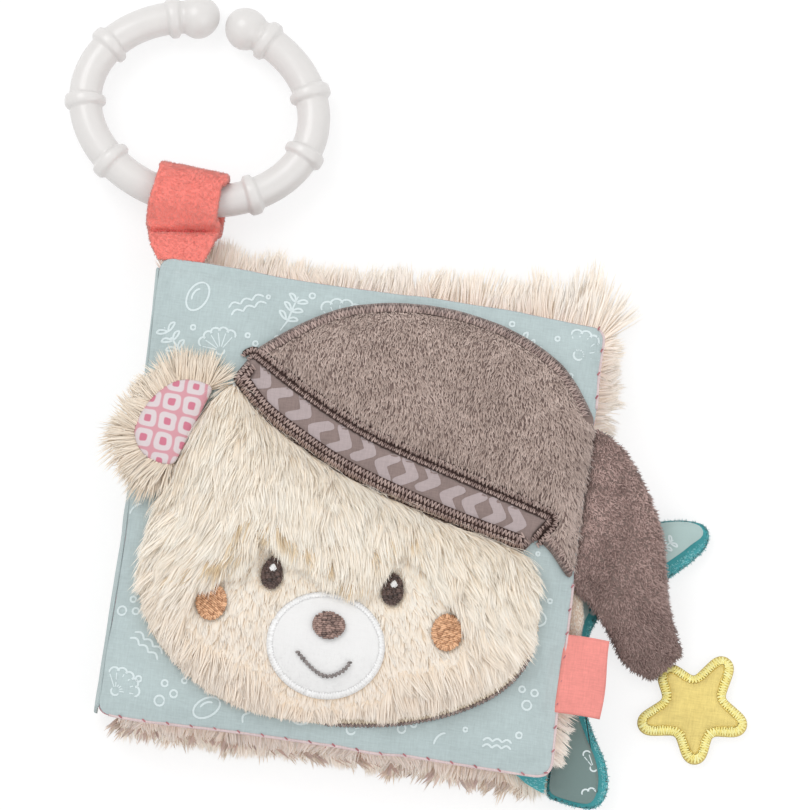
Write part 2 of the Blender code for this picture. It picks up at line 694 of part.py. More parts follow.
def build_star(tail):
    place, start, out = star_frame()
    hinge = pivot("star_pivot", (*place, STAR_Z), tail)
    points = []
    for (a, share), (b, _) in zip(STAR_TIPS, [*STAR_TIPS[1:], STAR_TIPS[0]]):
        b = b if b < a else b - 360
        for turn, reach in ((a, share), ((a + b) / 2, STAR_VALLEY_SHARE)):
            radius = STAR_TIP_RADIUS * reach
            points.append((radius * math.cos(math.radians(turn)),
                           radius * math.sin(math.radians(turn))))
    loop = []
    for a, b, c in zip([points[-1], *points], points, [*points[1:], points[0]]):
        loop.append(tuple((p + 3 * q) / 4 for p, q in zip(a, b)))
        loop.append(tuple(q * 0.88 + (p + r) * 0.06 for p, q, r in zip(a, b, c)))
        loop.append(tuple((r + 3 * q) / 4 for q, r in zip(b, c)))
    first = min(loop, key=lambda p: p[0] * out[0] + p[1] * out[1])
    centre = (start[0] - first[0], start[1] - first[1])
    loop = [(x + centre[0], y + centre[1]) for x, y in loop]
    flat = disc(loop, centre, (1, 0.7))

    def rise(x, y):
        return HALF_GAP + STAR_CLOTH + STAR_PUFF * (1 - share_in(loop, centre, x, y) ** 2)

    layer("star_front", flat, lambda x, y: STAR_Z + HALF_GAP,
          lambda x, y: STAR_Z + rise(x, y), YELLOW, hinge)
    layer("star_back", flat, lambda x, y: STAR_Z - rise(x, y),
          lambda x, y: STAR_Z - HALF_GAP, YELLOW, hinge)


def build_label(cover):
    hinge = pivot("label_pivot", (COVER_HALF + FLAP_HINGE_GAP, LABEL_Y, FRONT_SEAM_Z), cover)
    start, end = COVER_HALF + FLAP_START, COVER_HALF + FLAP_START + LABEL_LENGTH
    low, high = LABEL_Y - LABEL_WIDTH / 2, LABEL_Y + LABEL_WIDTH / 2
    flat = sheet([(start, low), (start + LABEL_THICK, low), (end, low)],
                 [(start, high), (start + LABEL_THICK, high), (end, high)], (0, 0.5, 1))
    thick = [LABEL_THICK / 2 if x > start + LAYER_GAP else FLAP_ROOT_LAYER for x, _ in flat[0]]
    layer("label_tab", flat, [FRONT_SEAM_Z - t for t in thick],
          [FRONT_SEAM_Z + t for t in thick], CORAL, hinge)


def loop_centre():
    radius = LOOP_BORE_RADIUS + LOOP_THICK
    return LOOP_X, COVER_HALF + LOOP_REACH, LOOP_LIFT + radius


def build_hang_loop(cover):
    """A band folded round the ring, its two ends stitched together and sewn in the top seam."""
    cx, cy, cz = loop_centre()
    hinge = pivot("loop_pivot", (cx, COVER_HALF + FLAP_HINGE_GAP, FRONT_SEAM_Z), cover)
    back = (-LOOP_REACH + FLAP_START, FRONT_SEAM_Z - cz)
    long = math.hypot(*back)
    towards = math.atan2(back[1], back[0])
    across = (-math.sin(towards), math.cos(towards))
    radius = LOOP_BORE_RADIUS + LOOP_THICK
    outer, inner, widths = [], [], []
    sides = 28
    for k in range(sides - 4):
        a = towards + math.pi / 7 + (2 * math.pi - 2 * math.pi / 7) * k / (sides - 5)
        outer.append((radius * math.cos(a), radius * math.sin(a)))
        inner.append((LOOP_BORE_RADIUS * math.cos(a), LOOP_BORE_RADIUS * math.sin(a)))
        widths.append(LOOP_WIDTH / 2)
    stitch = radius + LOOP_THICK / 2
    tab = ((stitch, -LOOP_THICK / 2), (long, -LAYER_GAP), (long, LAYER_GAP), (stitch, LOOP_THICK / 2))
    for k, (reach, side) in enumerate(tab):
        a = towards - math.pi / 7 + 2 * math.pi / 7 * (k + 1) / 5
        outer.append((reach * math.cos(towards) + side * across[0],
                      reach * math.sin(towards) + side * across[1]))
        inner.append((LOOP_BORE_RADIUS * math.cos(a), LOOP_BORE_RADIUS * math.sin(a)))
        widths.append(LOOP_BASE_WIDTH / 2 if reach == long else LOOP_WIDTH / 2)
    points = []
    for contour in (outer, inner):
        for side in (-1, 1):
            for (s, z), w in zip(contour, widths):
                share = min(1, max(0, -s / long))
                turn = LOOP_TURN * (1 - share)
                wide = side * (w if contour is outer else LOOP_WIDTH / 2)
                points.append((cx + wide * math.cos(turn), cy + s + wide * math.sin(turn), cz + z))
    faces = []
    for i in range(sides):
        j = (i + 1) % sides
        a, b, c, d = i, i + sides, i + 2 * sides, i + 3 * sides
        e, f, g, h = j, j + sides, j + 2 * sides, j + 3 * sides
        faces += [(a, f, b), (a, e, f), (c, h, g), (c, d, h), (a, g, e), (a, c, g), (b, h, d), (b, f, h)]
    piece("hang_loop", points, faces, CORAL, hinge)
    return hinge


def ring_frame():
    """The ring's centre and the directions along its length and towards the loop."""
    cx, cy, _ = loop_centre()
    long = (math.cos(RING_TURN), math.sin(RING_TURN))
    down = (long[1], -long[0])
    below = RING_HALF_WIDTH * math.sqrt(1 - (RING_SHIFT / RING_HALF_LENGTH) ** 2)
    centre = (cx - RING_SHIFT * long[0] - below * down[0],
              cy - RING_SHIFT * long[1] - below * down[1])
    return centre, long, down


def ring_radius(arc, ribs, last):
    """The rod's radius at a length of arc: ribs along it and a ball at each end."""
    radius = ROD_RADIUS
    for rib in ribs:
        away = abs(arc - rib) / RIB_HALF_WIDTH
        if away < 1:
            radius = max(radius, ROD_RADIUS + (RIB_RADIUS - ROD_RADIUS) * (1 - away**4))
    for end in (0, last):
        away = abs(arc - end)
        if away < BALL_RADIUS:
            radius = max(radius, math.sqrt(BALL_RADIUS**2 - away**2))
        beyond = end - arc if end == 0 else arc - end
        if beyond > 0:
            radius = math.sqrt(max(0, BALL_RADIUS**2 - away**2))
    return radius


def build_ring(loop):
    """An oval ring of round rod with ribs, open opposite the loop between two balls."""
    cx, cy, cz = loop_centre()
    hinge = pivot("ring_pivot", (cx, cy, cz), loop)
    centre, long, down = ring_frame()
    far = BALL_RADIUS + FAR_LIFT
    steep = (cz - far) / (2 * RING_HALF_WIDTH)

    def place(t):
        p, q = RING_HALF_LENGTH * math.cos(t), RING_HALF_WIDTH * math.sin(t)
        return (centre[0] + p * long[0] + q * down[0], centre[1] + p * long[1] + q * down[1],
                cz + (q - RING_HALF_WIDTH) * steep)

    first, last = BALL_TURN, math.pi - BALL_TURN
    fine = 4000
    margin = math.radians(16)
    turns = [first - margin + (last - first + 2 * margin) * k / fine for k in range(fine + 1)]
    lengths = [0]
    for a, b in zip(turns, turns[1:]):
        lengths.append(lengths[-1] + math.dist(place(a), place(b)))

    def arc_at(t):
        k = (t - turns[0]) / (turns[-1] - turns[0]) * fine
        i = min(fine - 1, int(k))
        return lengths[i] + (lengths[i + 1] - lengths[i]) * (k - i)

    def turn_at(arc):
        low, high = 0, fine
        while high - low > 1:
            middle = (low + high) // 2
            low, high = (middle, high) if lengths[middle] <= arc else (low, middle)
        share = (arc - lengths[low]) / (lengths[high] - lengths[low])
        return turns[low] + (turns[high] - turns[low]) * share

    start, end = arc_at(first), arc_at(last)
    total = end - start
    ribs = [arc_at(math.pi / 2 + (k - (RIB_COUNT - 1) / 2) * RIB_STEP) - start
            for k in range(RIB_COUNT)]
    stations = [total * k / 60 for k in range(1, 60)]
    for rib in ribs:
        stations = [s for s in stations if abs(s - rib) > 1.6 * RIB_HALF_WIDTH]
        stations += [rib + RIB_HALF_WIDTH * share for share in (-1, -0.8, -0.3, 0.3, 0.8, 1)]
    neck = math.sqrt(BALL_RADIUS**2 - ROD_RADIUS**2)
    stations = [s for s in stations if neck * 1.3 < s < total - neck * 1.3]
    for share in (-0.98, -0.85, -0.5, 0, 0.4, 0.95):
        stations += [BALL_RADIUS * share if share < 0 else neck * share / 0.95]
        stations += [total - (BALL_RADIUS * share if share < 0 else neck * share / 0.95)]
    stations.sort()
    up = (-steep * down[0], -steep * down[1], 1)
    points = []
    for s in stations:
        t = turn_at(s + start)
        at, ahead = place(t), place(t + 0.001)
        run = [b - a for a, b in zip(at, ahead)]
        size = math.hypot(*run)
        run = [r / size for r in run]
        side = (run[1] * up[2] - run[2] * up[1], run[2] * up[0] - run[0] * up[2],
                run[0] * up[1] - run[1] * up[0])
        size = math.hypot(*side)
        side = [v / size for v in side]
        rise = (side[1] * run[2] - side[2] * run[1], side[2] * run[0] - side[0] * run[2],
                side[0] * run[1] - side[1] * run[0])
        radius = ring_radius(s, ribs, total)
        for k in range(RING_SIDES):
            a = 2 * math.pi * k / RING_SIDES
            points.append(tuple(c + radius * (math.cos(a) * u + math.sin(a) * v)
                                for c, u, v in zip(at, side, rise)))
    n = RING_SIDES
    faces = [tuple(range(n)), tuple(range(len(points) - 1, len(points) - n - 1, -1))]
    for i in range(len(stations) - 1):
        for k in range(n):
            a, b = i * n + k, i * n + (k + 1) % n
            faces.append((a, a + n, b + n, b))
    piece("ring", points, faces, WHITE, hinge, roughness=0.35)


def build_fin():
    """The fin past the right edge, which turns at its fold, and its root between the pages."""
    fold = COVER_HALF + FIN_FOLD_GAP
    hinge = pivot("fin_pivot", (fold, FIN_Y, FIN_Z))
    corner = (COVER_HALF + FIN_FOLD_GAP + FLAP_HINGE_GAP, FIN_Y)
    steps = 2
    outer = along(scaled(FIN_OUTER_SHARES, corner, FIN_SPAN), steps)
    fan = [a for a, _ in along([(s, 0) for s in FIN_FAN_SHARES], steps)]
    low, high = (FIN_Y + share * FIN_SPAN for share in FIN_HINGE_SHARES)
    inner = [(corner[0], low + (high - low) * share) for share in fan]
    flat = sheet(inner, outer, ACROSS_FIN_SHARES)
    across = len(ACROSS_FIN_SHARES)
    middle = [FIN_Z - FIN_DROOP_SHARE * (x - fold) for x, _ in flat[0]]
    full = (FIN_PRINT + FIN_WADDING + FIN_PLUSH) / 2 + LAYER_GAP
    root = [i % across == 0 for i in range(len(flat[0]))]
    top = [m + (FIN_ROOT_HALF_THICK if r else full) for m, r in zip(middle, root)]
    print_low = [m + HALF_GAP if r else m + full - FIN_PRINT for m, r in zip(middle, root)]
    plush_high = [m - HALF_GAP if r else m - full + FIN_PLUSH for m, r in zip(middle, root)]
    bottom = [m - (FIN_ROOT_HALF_THICK if r else full) for m, r in zip(middle, root)]
    layer("fin_print_front", flat, print_low, top, TEAL, hinge)
    layer("fin_plush_back", flat, bottom, plush_high, TURQUOISE, hinge)
    keep = range(1, across)
    rows = range(1, len(outer) - 1)
    inset = 0.96
    ends = [tuple(a + (b - a) * inset for a, b in zip(i, o)) for i, o in zip(inner, outer)]
    wad = sheet([inner[i] for i in rows], [ends[i] for i in rows],
                [ACROSS_FIN_SHARES[j] for j in keep])
    centre = [FIN_Z - FIN_DROOP_SHARE * (x - fold) for x, _ in wad[0]]
    shift = (FIN_PLUSH - FIN_PRINT) / 2
    layer("fin_wadding", wad, [c + shift - FIN_WADDING / 2 for c in centre],
          [c + shift + FIN_WADDING / 2 for c in centre], WHITE, hinge)

    edge = fold - FLAP_HINGE_GAP
    stem_x = FISH_X + FISH_HALF_LENGTH * math.cos(FISH_TILT) + FIN_STEM_GAP
    stem_y = FISH_Y + FISH_HALF_LENGTH * math.sin(FISH_TILT)
    lobe = scaled(FIN_LOWER_LOBE_SHARES, corner, FIN_SPAN)
    left = [(stem_x, stem_y - FIN_STEM_HALF_WIDTH), *lobe, (edge, low)]
    right = [(stem_x, stem_y + FIN_STEM_HALF_WIDTH)] + [
        (stem_x + (edge - stem_x) * s, stem_y + FIN_STEM_HALF_WIDTH
         + (high - stem_y - FIN_STEM_HALF_WIDTH) * s) for s in (0.5, 0.8, 1)
    ]
    flat = sheet(left, right, (0, 0.5, 1))
    rise = [FIN_ROOT_HALF_THICK if x > edge - LAYER_GAP else FIN_ROOT_THICK / 2
            for x, _ in flat[0]]
    layer("fin_root", flat, [FIN_Z - r for r in rise], [FIN_Z + r for r in rise], TURQUOISE)


def build():
    for thing in list(bpy.data.objects):
        bpy.data.objects.remove(thing, do_unlink=True)
    build_back_cover()
    build_spine()
    build_fish()
    build_fin()
    build_leaf(pivot("leaf_pivot", (leaf_hinge_x(), 0, LEAF_SEAM_Z)))
    cover = pivot("cover_pivot", (-COVER_HALF - COVER_HINGE_GAP, 0, FRONT_SEAM_Z))
    build_front_cover(cover)
    build_head(cover)
    build_cap(cover)
    build_ear(cover)
    build_star(build_tail(cover))
    build_label(cover)
    build_ring(build_hang_loop(cover))


build()
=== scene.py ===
"""The looks of a baby's crinkle cloth book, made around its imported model.

Every piece is in metres, in the model's own frame. Outlines and heights come from the frame. Fur,
pile and stitches are real strands of mesh, laid on the pieces that they grow from or are sewn to.
"""

import itertools
import json
import math

import bpy
import numpy as np
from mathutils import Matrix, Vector, bvhtree, geometry, kdtree


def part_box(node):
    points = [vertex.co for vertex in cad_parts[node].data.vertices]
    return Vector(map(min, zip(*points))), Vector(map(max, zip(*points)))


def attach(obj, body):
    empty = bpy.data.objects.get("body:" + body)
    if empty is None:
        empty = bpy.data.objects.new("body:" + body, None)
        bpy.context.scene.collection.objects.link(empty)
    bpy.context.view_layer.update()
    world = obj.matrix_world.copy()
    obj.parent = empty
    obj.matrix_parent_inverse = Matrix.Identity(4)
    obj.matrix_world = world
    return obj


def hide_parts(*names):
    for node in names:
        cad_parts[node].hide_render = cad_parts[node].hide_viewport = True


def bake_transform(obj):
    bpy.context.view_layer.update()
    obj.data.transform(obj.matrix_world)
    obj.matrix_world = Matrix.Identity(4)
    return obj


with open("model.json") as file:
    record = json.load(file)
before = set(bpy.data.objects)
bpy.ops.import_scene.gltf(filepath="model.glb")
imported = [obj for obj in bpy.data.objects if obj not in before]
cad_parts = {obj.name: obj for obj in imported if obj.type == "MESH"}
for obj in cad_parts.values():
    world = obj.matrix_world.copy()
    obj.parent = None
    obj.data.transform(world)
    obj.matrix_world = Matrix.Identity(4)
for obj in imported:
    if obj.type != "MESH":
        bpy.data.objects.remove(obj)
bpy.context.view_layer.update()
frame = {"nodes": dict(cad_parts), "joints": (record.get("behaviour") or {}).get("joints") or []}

# The photograph's view: the book is turned on the floor, seen from almost straight above. A pixel
# is 0.286 mm on the book
IMAGE_SIDE = 810
PIXEL = 0.000286
BOOK_TURN = math.radians(8.3)
CAMERA_RISE = math.radians(80.5)
CAMERA_DISTANCE = 2.6
SENSOR = 36
AIM_RIGHT = 0.0153
AIM_UP = 0.0327
AIM_Z = 0.0195

# Covers: how far they reach from the middle, how their corners lie moved, the heights of their seams
# and how far they are puffed up from them, the cloth's thickness, and how high a seated piece starts
COVER_HALF = 0.065
COVER_CORNER = 0.0035
COVER_MOVES = ((-0.0004, 0.0026), (-0.0006, 0.0002), (0.0018, -0.0008), (0.0013, -0.0009))
FRONT_SEAM = 0.019
FRONT_PUFF = 0.0037
FRONT_SAG = 0.0027
BACK_SEAM = 0.0045
BACK_PUFF = 0.0025
LEAF_SEAM = 0.013
LEAF_PUFF = 0.0012
CLOTH = 0.0007
SEAT = 0.0009
PRINT_RISE = 0.00006

# A divisor too small to matter, a height above the whole book, and the way up
TINY = 1e-12
SKY = 0.2
UP = np.array([0.0, 0.0, 1.0])

# How far strands roll about their length, the corners of a tuft's foot, where a thread has its
# rings of points, how high filling stitches arch, and the reach over which a border's way is taken
RIBBON_ROLL = 0.3
TUFT_CORNERS = (0, 2.1, 4.2)
THREAD_STATIONS = (0, 0.2, 0.5, 0.8, 1)
STITCH_ARCH = 0.0003
SATIN_REACH = 0.0004


def rng(seed):
    return np.random.default_rng(seed)


def ripple(x, y, size, seed):
    """Smooth noise from -1 to 1, with lumps about a size across."""
    table = rng(seed).random((64, 64)) * 2 - 1
    u, v = np.asarray(x) / size + 31.7, np.asarray(y) / size + 17.3
    i, j = np.floor(u).astype(int), np.floor(v).astype(int)
    s, t = u - i, v - j
    s, t = s * s * (3 - 2 * s), t * t * (3 - 2 * t)
    low = table[i % 64, j % 64] * (1 - s) + table[(i + 1) % 64, j % 64] * s
    high = table[i % 64, (j + 1) % 64] * (1 - s) + table[(i + 1) % 64, (j + 1) % 64] * s
    return low * (1 - t) + high * t


def unit(v):
    return v / np.maximum(np.linalg.norm(v, axis=-1, keepdims=True), TINY)


def right_of(way):
    """The right-hand side of flat directions."""
    return np.stack([way[:, 1], -way[:, 0]], 1)


def path_ways(path):
    """The directions along an open path, and to its right."""
    way = unit(np.gradient(path, axis=0))
    return way, right_of(way)


def heading(angle):
    return np.array([math.cos(angle), math.sin(angle)])


def spin(angle):
    """The matrix that turns flat points by an angle."""
    return np.array([[math.cos(angle), -math.sin(angle)], [math.sin(angle), math.cos(angle)]])


def angles(count):
    return np.linspace(0, 2 * math.pi, count, endpoint=False)


def run_of(line):
    """How far along a line each of its points is."""
    return np.r_[0, np.cumsum(np.linalg.norm(np.diff(line, axis=0), axis=1))]


def places(line, run, at):
    """The places at some distances along a line."""
    return np.stack([np.interp(at, run, line[:, k]) for k in (0, 1)], 1)


def chain(edges):
    """The longest closed loop that directed edges make."""
    following = dict(edges)
    loops = []
    while following:
        start, here = following.popitem()
        loop = [start]
        while here != start and here in following:
            loop.append(here)
            here = following.pop(here)
        loops.append(loop)
    return max(loops, key=len)


def outline(node):
    """The edge of a CAD node's upper side, seen from above, as points in order."""
    mesh = frame["nodes"][node].data
    mesh.calc_loop_triangles()
    spots = [tuple(round(c, 6) for c in v.co) for v in mesh.vertices]
    edges = set()
    for tri in mesh.loop_triangles:
        if tri.normal.z > 0.2:
            a, b, c = (spots[i] for i in tri.vertices)
            edges |= {(a, b), (b, c), (c, a)}
    loop = chain([(a, b) for a, b in edges if (b, a) not in edges])
    return np.array([p[:2] for p in loop])


def soften(loop, step, passes=2):
    """The same closed outline with points a step apart, its corners eased."""
    closed = np.vstack([loop, loop[:1]])
    run = run_of(closed)
    points = places(closed, run, np.linspace(0, run[-1], max(12, int(run[-1] / step)), endpoint=False))
    for _ in range(passes):
        points = points / 2 + (np.roll(points, 1, 0) + np.roll(points, -1, 0)) / 4
    return points


def respaced(path, step):
    """The same open path with points a step apart."""
    run = run_of(path)
    return places(path, run, np.arange(step / 2, run[-1], step))


def area(loop):
    x, y = loop.T
    return (x * np.roll(y, -1) - np.roll(x, -1) * y).sum() / 2


def hand(loop):
    """1 for an outline that runs anticlockwise, -1 for one that runs clockwise."""
    return 1 if area(loop) > 0 else -1


def outward(loop):
    return right_of(unit(np.roll(loop, -1, 0) - np.roll(loop, 1, 0))) * hand(loop)


def grown(loop, by):
    return loop + outward(loop) * by


def inside(points, loop):
    x, y = points[:, :1], points[:, 1:2]
    a, b = loop, np.roll(loop, -1, 0)
    crosses = (a[:, 1] > y) != (b[:, 1] > y)
    rise = b[:, 1] - a[:, 1]
    rise = np.where(rise == 0, TINY, rise)
    place = a[:, 0] + (b[:, 0] - a[:, 0]) * (y - a[:, 1]) / rise
    return (crosses & (x < place)).sum(1) % 2 == 1


def distance(points, loop, closed=True):
    """How far points are from an outline."""
    points = np.asarray(points)[:, :2]
    a, b = (loop, np.roll(loop, -1, 0)) if closed else (loop[:-1], loop[1:])
    best = np.full(len(points), np.inf)
    for p, q in zip(a, b):
        d = q - p
        t = np.clip(((points - p) @ d) / max(d @ d, 1e-16), 0, 1)
        best = np.minimum(best, np.linalg.norm(points - p - t[:, None] * d, axis=1))
    return best


def share(points, loop, centre):
    """How far points are from the centre towards a star-shaped outline: 1 on the outline."""
    edge = loop - centre
    angle = np.arctan2(edge[:, 1], edge[:, 0])
    order = np.argsort(angle)
    angle, reach = angle[order], np.linalg.norm(edge[order], axis=1)
    angle = np.r_[angle[-1] - 2 * math.pi, angle, angle[0] + 2 * math.pi]
    reach = np.r_[reach[-1], reach, reach[0]]
    away = np.asarray(points)[:, :2] - centre
    return np.linalg.norm(away, axis=1) / np.interp(np.arctan2(away[:, 1], away[:, 0]), angle, reach)


def fill(loop, step):
    """A flat triangle mesh inside an outline: points, triangles and the outer loop in order."""
    low, high = loop.min(0), loop.max(0)
    columns = np.arange(low[0], high[0], step)
    rows = np.arange(low[1], high[1], step * math.sqrt(3) / 2)
    grid = np.array([(x + step / 2 * (k % 2), y) for k, y in enumerate(rows) for x in columns])
    grid = grid[inside(grid, loop) & (distance(grid, loop) > step / 2)]
    points = np.vstack([loop, grid]) * 1000
    found = geometry.delaunay_2d_cdt(
        [Vector(p) for p in points], [], [list(range(len(loop)))], 1, 1e-5
    )
    flat = np.array([tuple(v) for v in found[0]]) / 1000
    tris = np.array([tuple(f) for f in found[2]])
    a, b, c = (flat[tris[:, k]] for k in range(3))
    turned = (b[:, 0] - a[:, 0]) * (c[:, 1] - a[:, 1]) - (b[:, 1] - a[:, 1]) * (c[:, 0] - a[:, 0])
    tris[turned < 0] = tris[turned < 0][:, ::-1]
    edges = {(int(t[i]), int(t[(i + 1) % 3])) for t in tris for i in range(3)}
    return flat, tris, chain([(i, j) for i, j in edges if (j, i) not in edges])


def placed(name, data):
    made = bpy.data.objects.new(name, data)
    bpy.context.scene.collection.objects.link(made)
    return made


def piece(name, points, faces, material, body=None, values=None):
    """A mesh piece that rides on a body. Values are one number for each point, for its material."""
    mesh = bpy.data.meshes.new(name)
    mesh.from_pydata(np.asarray(points).tolist(), [], faces)
    mesh.shade_smooth()
    mesh.materials.append(material)
    for key, numbers in (values or {}).items():
        mesh.attributes.new(key, "FLOAT", "POINT").data.foreach_set(
            "value", np.asarray(numbers, np.float32)
        )
    made = placed(name, mesh)
    if body:
        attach(made, body)
    return made


def sewn(made, fill, *nodes):
    """A padded piece that stands for CAD nodes."""
    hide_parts(*nodes)
    return made


def tube(circles, turned=False):
    """The points and faces of a closed tube, from its points by station and by angle."""
    n, m = circles.shape[:2]
    ends = [tuple(range(m))[::-1], tuple(range((n - 1) * m, n * m))]
    faces = [end[::-1] for end in ends] if turned else ends
    for i in range(n - 1):
        for k in range(m):
            a, b = i * m + k, i * m + (k + 1) % m
            faces.append((a, a + m, b + m, b) if turned else (a, b, b + m, a + m))
    return circles.reshape(-1, 3), faces


def sheet(under, top, rows, columns):
    """The points and faces of a closed sheet between two grids, given row by row."""
    n = len(top)
    faces = []
    for i in range(rows - 1):
        for j in range(columns - 1):
            a = i * columns + j
            b, c, d = a + 1, a + columns + 1, a + columns
            faces += [(a, d, c, b), (a + n, b + n, c + n, d + n)]
    rim = list(range(columns)) + [i * columns + columns - 1 for i in range(1, rows)]
    rim += [(rows - 1) * columns + j for j in range(columns - 2, -1, -1)]
    rim += [i * columns for i in range(rows - 2, 0, -1)]
    faces += [(a, b, b + n, a + n) for a, b in zip(rim, rim[1:] + rim[:1])]
    return np.vstack([under, top]), faces


def face_light(made, normals):
    """Give a piece of pile its own normals, so it is lit like the soft surface it stands on."""
    made.data.normals_split_custom_set_from_vertices(unit(normals).tolist())
    return made


def slab(name, flat, low, high, material, body=None, bulge=0.0003):
    """A closed body between two heights over a flat mesh, its edge rounded by a bulge."""
    points, tris, rim = flat
    n = len(points)
    low, high = np.broadcast_to(low, n), np.broadcast_to(high, n)
    solid = [np.c_[points, low], np.c_[points, high]]
    loop = points[rim]
    middle = (low[rim] + high[rim]) / 2
    solid.append(np.c_[loop + outward(loop) * bulge, middle])
    faces = tris[:, ::-1].tolist() + (tris + n).tolist()
    m = len(rim)
    for k in range(m):
        a, b, c, d = rim[k], rim[(k + 1) % m], 2 * n + k, 2 * n + (k + 1) % m
        faces += [(a, b, d, c), (c, d, b + n, a + n)]
    return piece(name, np.vstack(solid), faces, material, body)


def bell(away, width):
    return np.exp(-((away / width) ** 2))


def ramped(away, width):
    """From 0 at an edge to 1 at a width from it."""
    return np.clip(away / width, 0, 1)


def eased(away, width):
    """From 0 at an edge to 1 at a width from it, round like the side of a cushion."""
    return np.sqrt(1 - (1 - ramped(away, width)) ** 2)


def heights(made):
    """A function that gives the height of a piece at places seen from above."""
    mesh = made.data
    mesh.calc_loop_triangles()
    tris = [tuple(t.vertices) for t in mesh.loop_triangles]
    tree = bvhtree.BVHTree.FromPolygons([v.co for v in mesh.vertices], tris)

    def at(points, missing=0.0):
        hits = (tree.ray_cast(Vector((p[0], p[1], SKY)), Vector((0, 0, -1)))[0] for p in points)
        return np.array([hit.z if hit and hit.z >= 0 else missing for hit in hits])

    return at


def read(items, key, kind=float):
    """Three numbers for each of a mesh's items."""
    values = np.zeros(len(items) * 3, kind)
    items.foreach_get(key, values)
    return values.reshape(-1, 3)


def nearest(points):
    """A tree that finds the nearest of some points."""
    tree = kdtree.KDTree(len(points))
    for i, point in enumerate(points):
        tree.insert(Vector(point), i)
    tree.balance()
    return tree


def surface_points(made, spacing, seed, keep=None):
    """Random places on a piece's surface, with their normals."""
    mesh = made.data
    mesh.calc_loop_triangles()
    points, normals = read(mesh.vertices, "co"), read(mesh.vertices, "normal")
    tris = read(mesh.loop_triangles, "vertices", int)
    a, b, c = (points[tris[:, k]] for k in range(3))
    areas = np.linalg.norm(np.cross(b - a, c - a), axis=1) / 2
    source = rng(seed)
    count = int(areas.sum() / spacing**2)
    pick = source.choice(len(tris), count, p=areas / areas.sum())
    u, v = source.random(count), source.random(count)
    u, v = np.where(u + v > 1, 1 - u, u), np.where(u + v > 1, 1 - v, v)
    w = 1 - u - v
    spot = sum(points[tris[pick, k]] * t[:, None] for k, t in enumerate((w, u, v)))
    lean = unit(sum(normals[tris[pick, k]] * t[:, None] for k, t in enumerate((w, u, v))))
    if keep is not None:
        chosen = keep(spot, lean)
        spot, lean = spot[chosen], lean[chosen]
    return spot, lean


def strands(name, roots, normals, flow, length, width, material, slot, body, seed, lift=0.6, droop=1.1,
            clump=0.0026, gather=0.5, parts=4, fan=0.16, tangle=0.07, locks=0.07, even=0.17):
    """Long pile: fine ribbons that rise from their roots, bend over along a flow and end in locks."""
    source = rng(seed)
    n = len(roots)
    normals = np.broadcast_to(normals, (n, 3))
    length = np.broadcast_to(length, n) * source.uniform(1 - even * 1.3, 1 + even * 0.7, n)
    heads = roots[source.permutation(n)[: max(1, int(n * locks))]]
    tree = nearest(heads)
    lock = np.array([tree.find(Vector(p))[1] for p in roots])
    turn = source.normal(0, fan, len(heads))[lock] + source.normal(0, tangle, n)
    stretch = source.uniform(0.84, 1.1, len(heads))[lock]
    rise = source.uniform(0.7, 1.3, len(heads))[lock]
    normals, flow = unit(normals), unit(flow - (flow * normals).sum(1)[:, None] * normals)
    across = np.cross(normals, flow)
    flow = flow * np.cos(turn)[:, None] + across * np.sin(turn)[:, None]
    across = np.cross(normals, flow)
    angle = np.broadcast_to(lift, n) * rise * source.uniform(0.85, 1.15, n)
    offset = roots - heads[lock]
    offset -= (offset * normals).sum(1)[:, None] * normals
    near = np.clip(1.4 - np.linalg.norm(offset, axis=1) / clump * 0.5, 0.3, 1)
    here, rows, run = roots.copy(), [], length * stretch / parts
    wander = source.normal(0, 0.08, n)
    for k in range(parts + 1):
        t = k / parts
        bent = angle * (1 - droop * t)
        way = flow * np.cos(bent)[:, None] + normals * np.sin(bent)[:, None]
        way = way + across * (wander * t)[:, None]
        pull = offset * (gather * near * t**1.3)[:, None]
        rows.append((here - pull, way, (1 - t) ** 0.5 if k < parts else 0))
        here = here + way * run[:, None]
    tone = source.random(len(heads))[lock] * 0.5 + source.random(n) * 0.5
    roll = source.normal(0, RIBBON_ROLL, n)[:, None]
    points, along, tones = [], [], []
    for k, (at, way, thin) in enumerate(rows[:-1]):
        wide = (np.broadcast_to(width, n) * (0.45 + 0.55 * thin) / 2)[:, None]
        side = across * np.cos(roll) + np.cross(way, across) * np.sin(roll)
        points += [at - side * wide, at + side * wide]
        along += [np.full(n, k / parts)] * 2
        tones += [tone] * 2
    points.append(rows[-1][0])
    along.append(np.ones(n))
    tones.append(tone)
    count = len(points)
    points = np.stack(points, 1).reshape(-1, 3)
    base = np.arange(n)[:, None] * count
    faces = [(2 * k, 2 * k + 2, 2 * k + 3, 2 * k + 1) for k in range(parts - 1)]
    quads = np.concatenate([base + np.array(f) for f in faces]).tolist()
    tips = (base + np.array((count - 3, count - 1, count - 2))).tolist()
    values = {"along": np.stack(along, 1).ravel(), "tone": np.stack(tones, 1).ravel()}
    made = piece(name, points, quads + tips, material, body, values)
    facing = normals + across * roll * 0.9 + flow * source.normal(0.05, 0.16, (n, 1))
    return face_light(made, np.repeat(facing, count, 0))


def fringe(name, run, out, z, deep, scatter, reach, sway, body, seed, source, down=(0, 0), **how):
    """A layer of long pile round an edge, rooted a little inside it. Sway turns it aside."""
    n = len(run)
    spot = run - out * source.uniform(*deep, (n, 1))
    roots = np.c_[spot, z + source.normal(0, scatter, n)]
    flow = np.c_[out - right_of(out) * sway[:, None] + np.array(down), np.zeros(n)]
    strands(name, roots, UP, flow, reach, slot="cream_plush", body=body, seed=seed, **how)


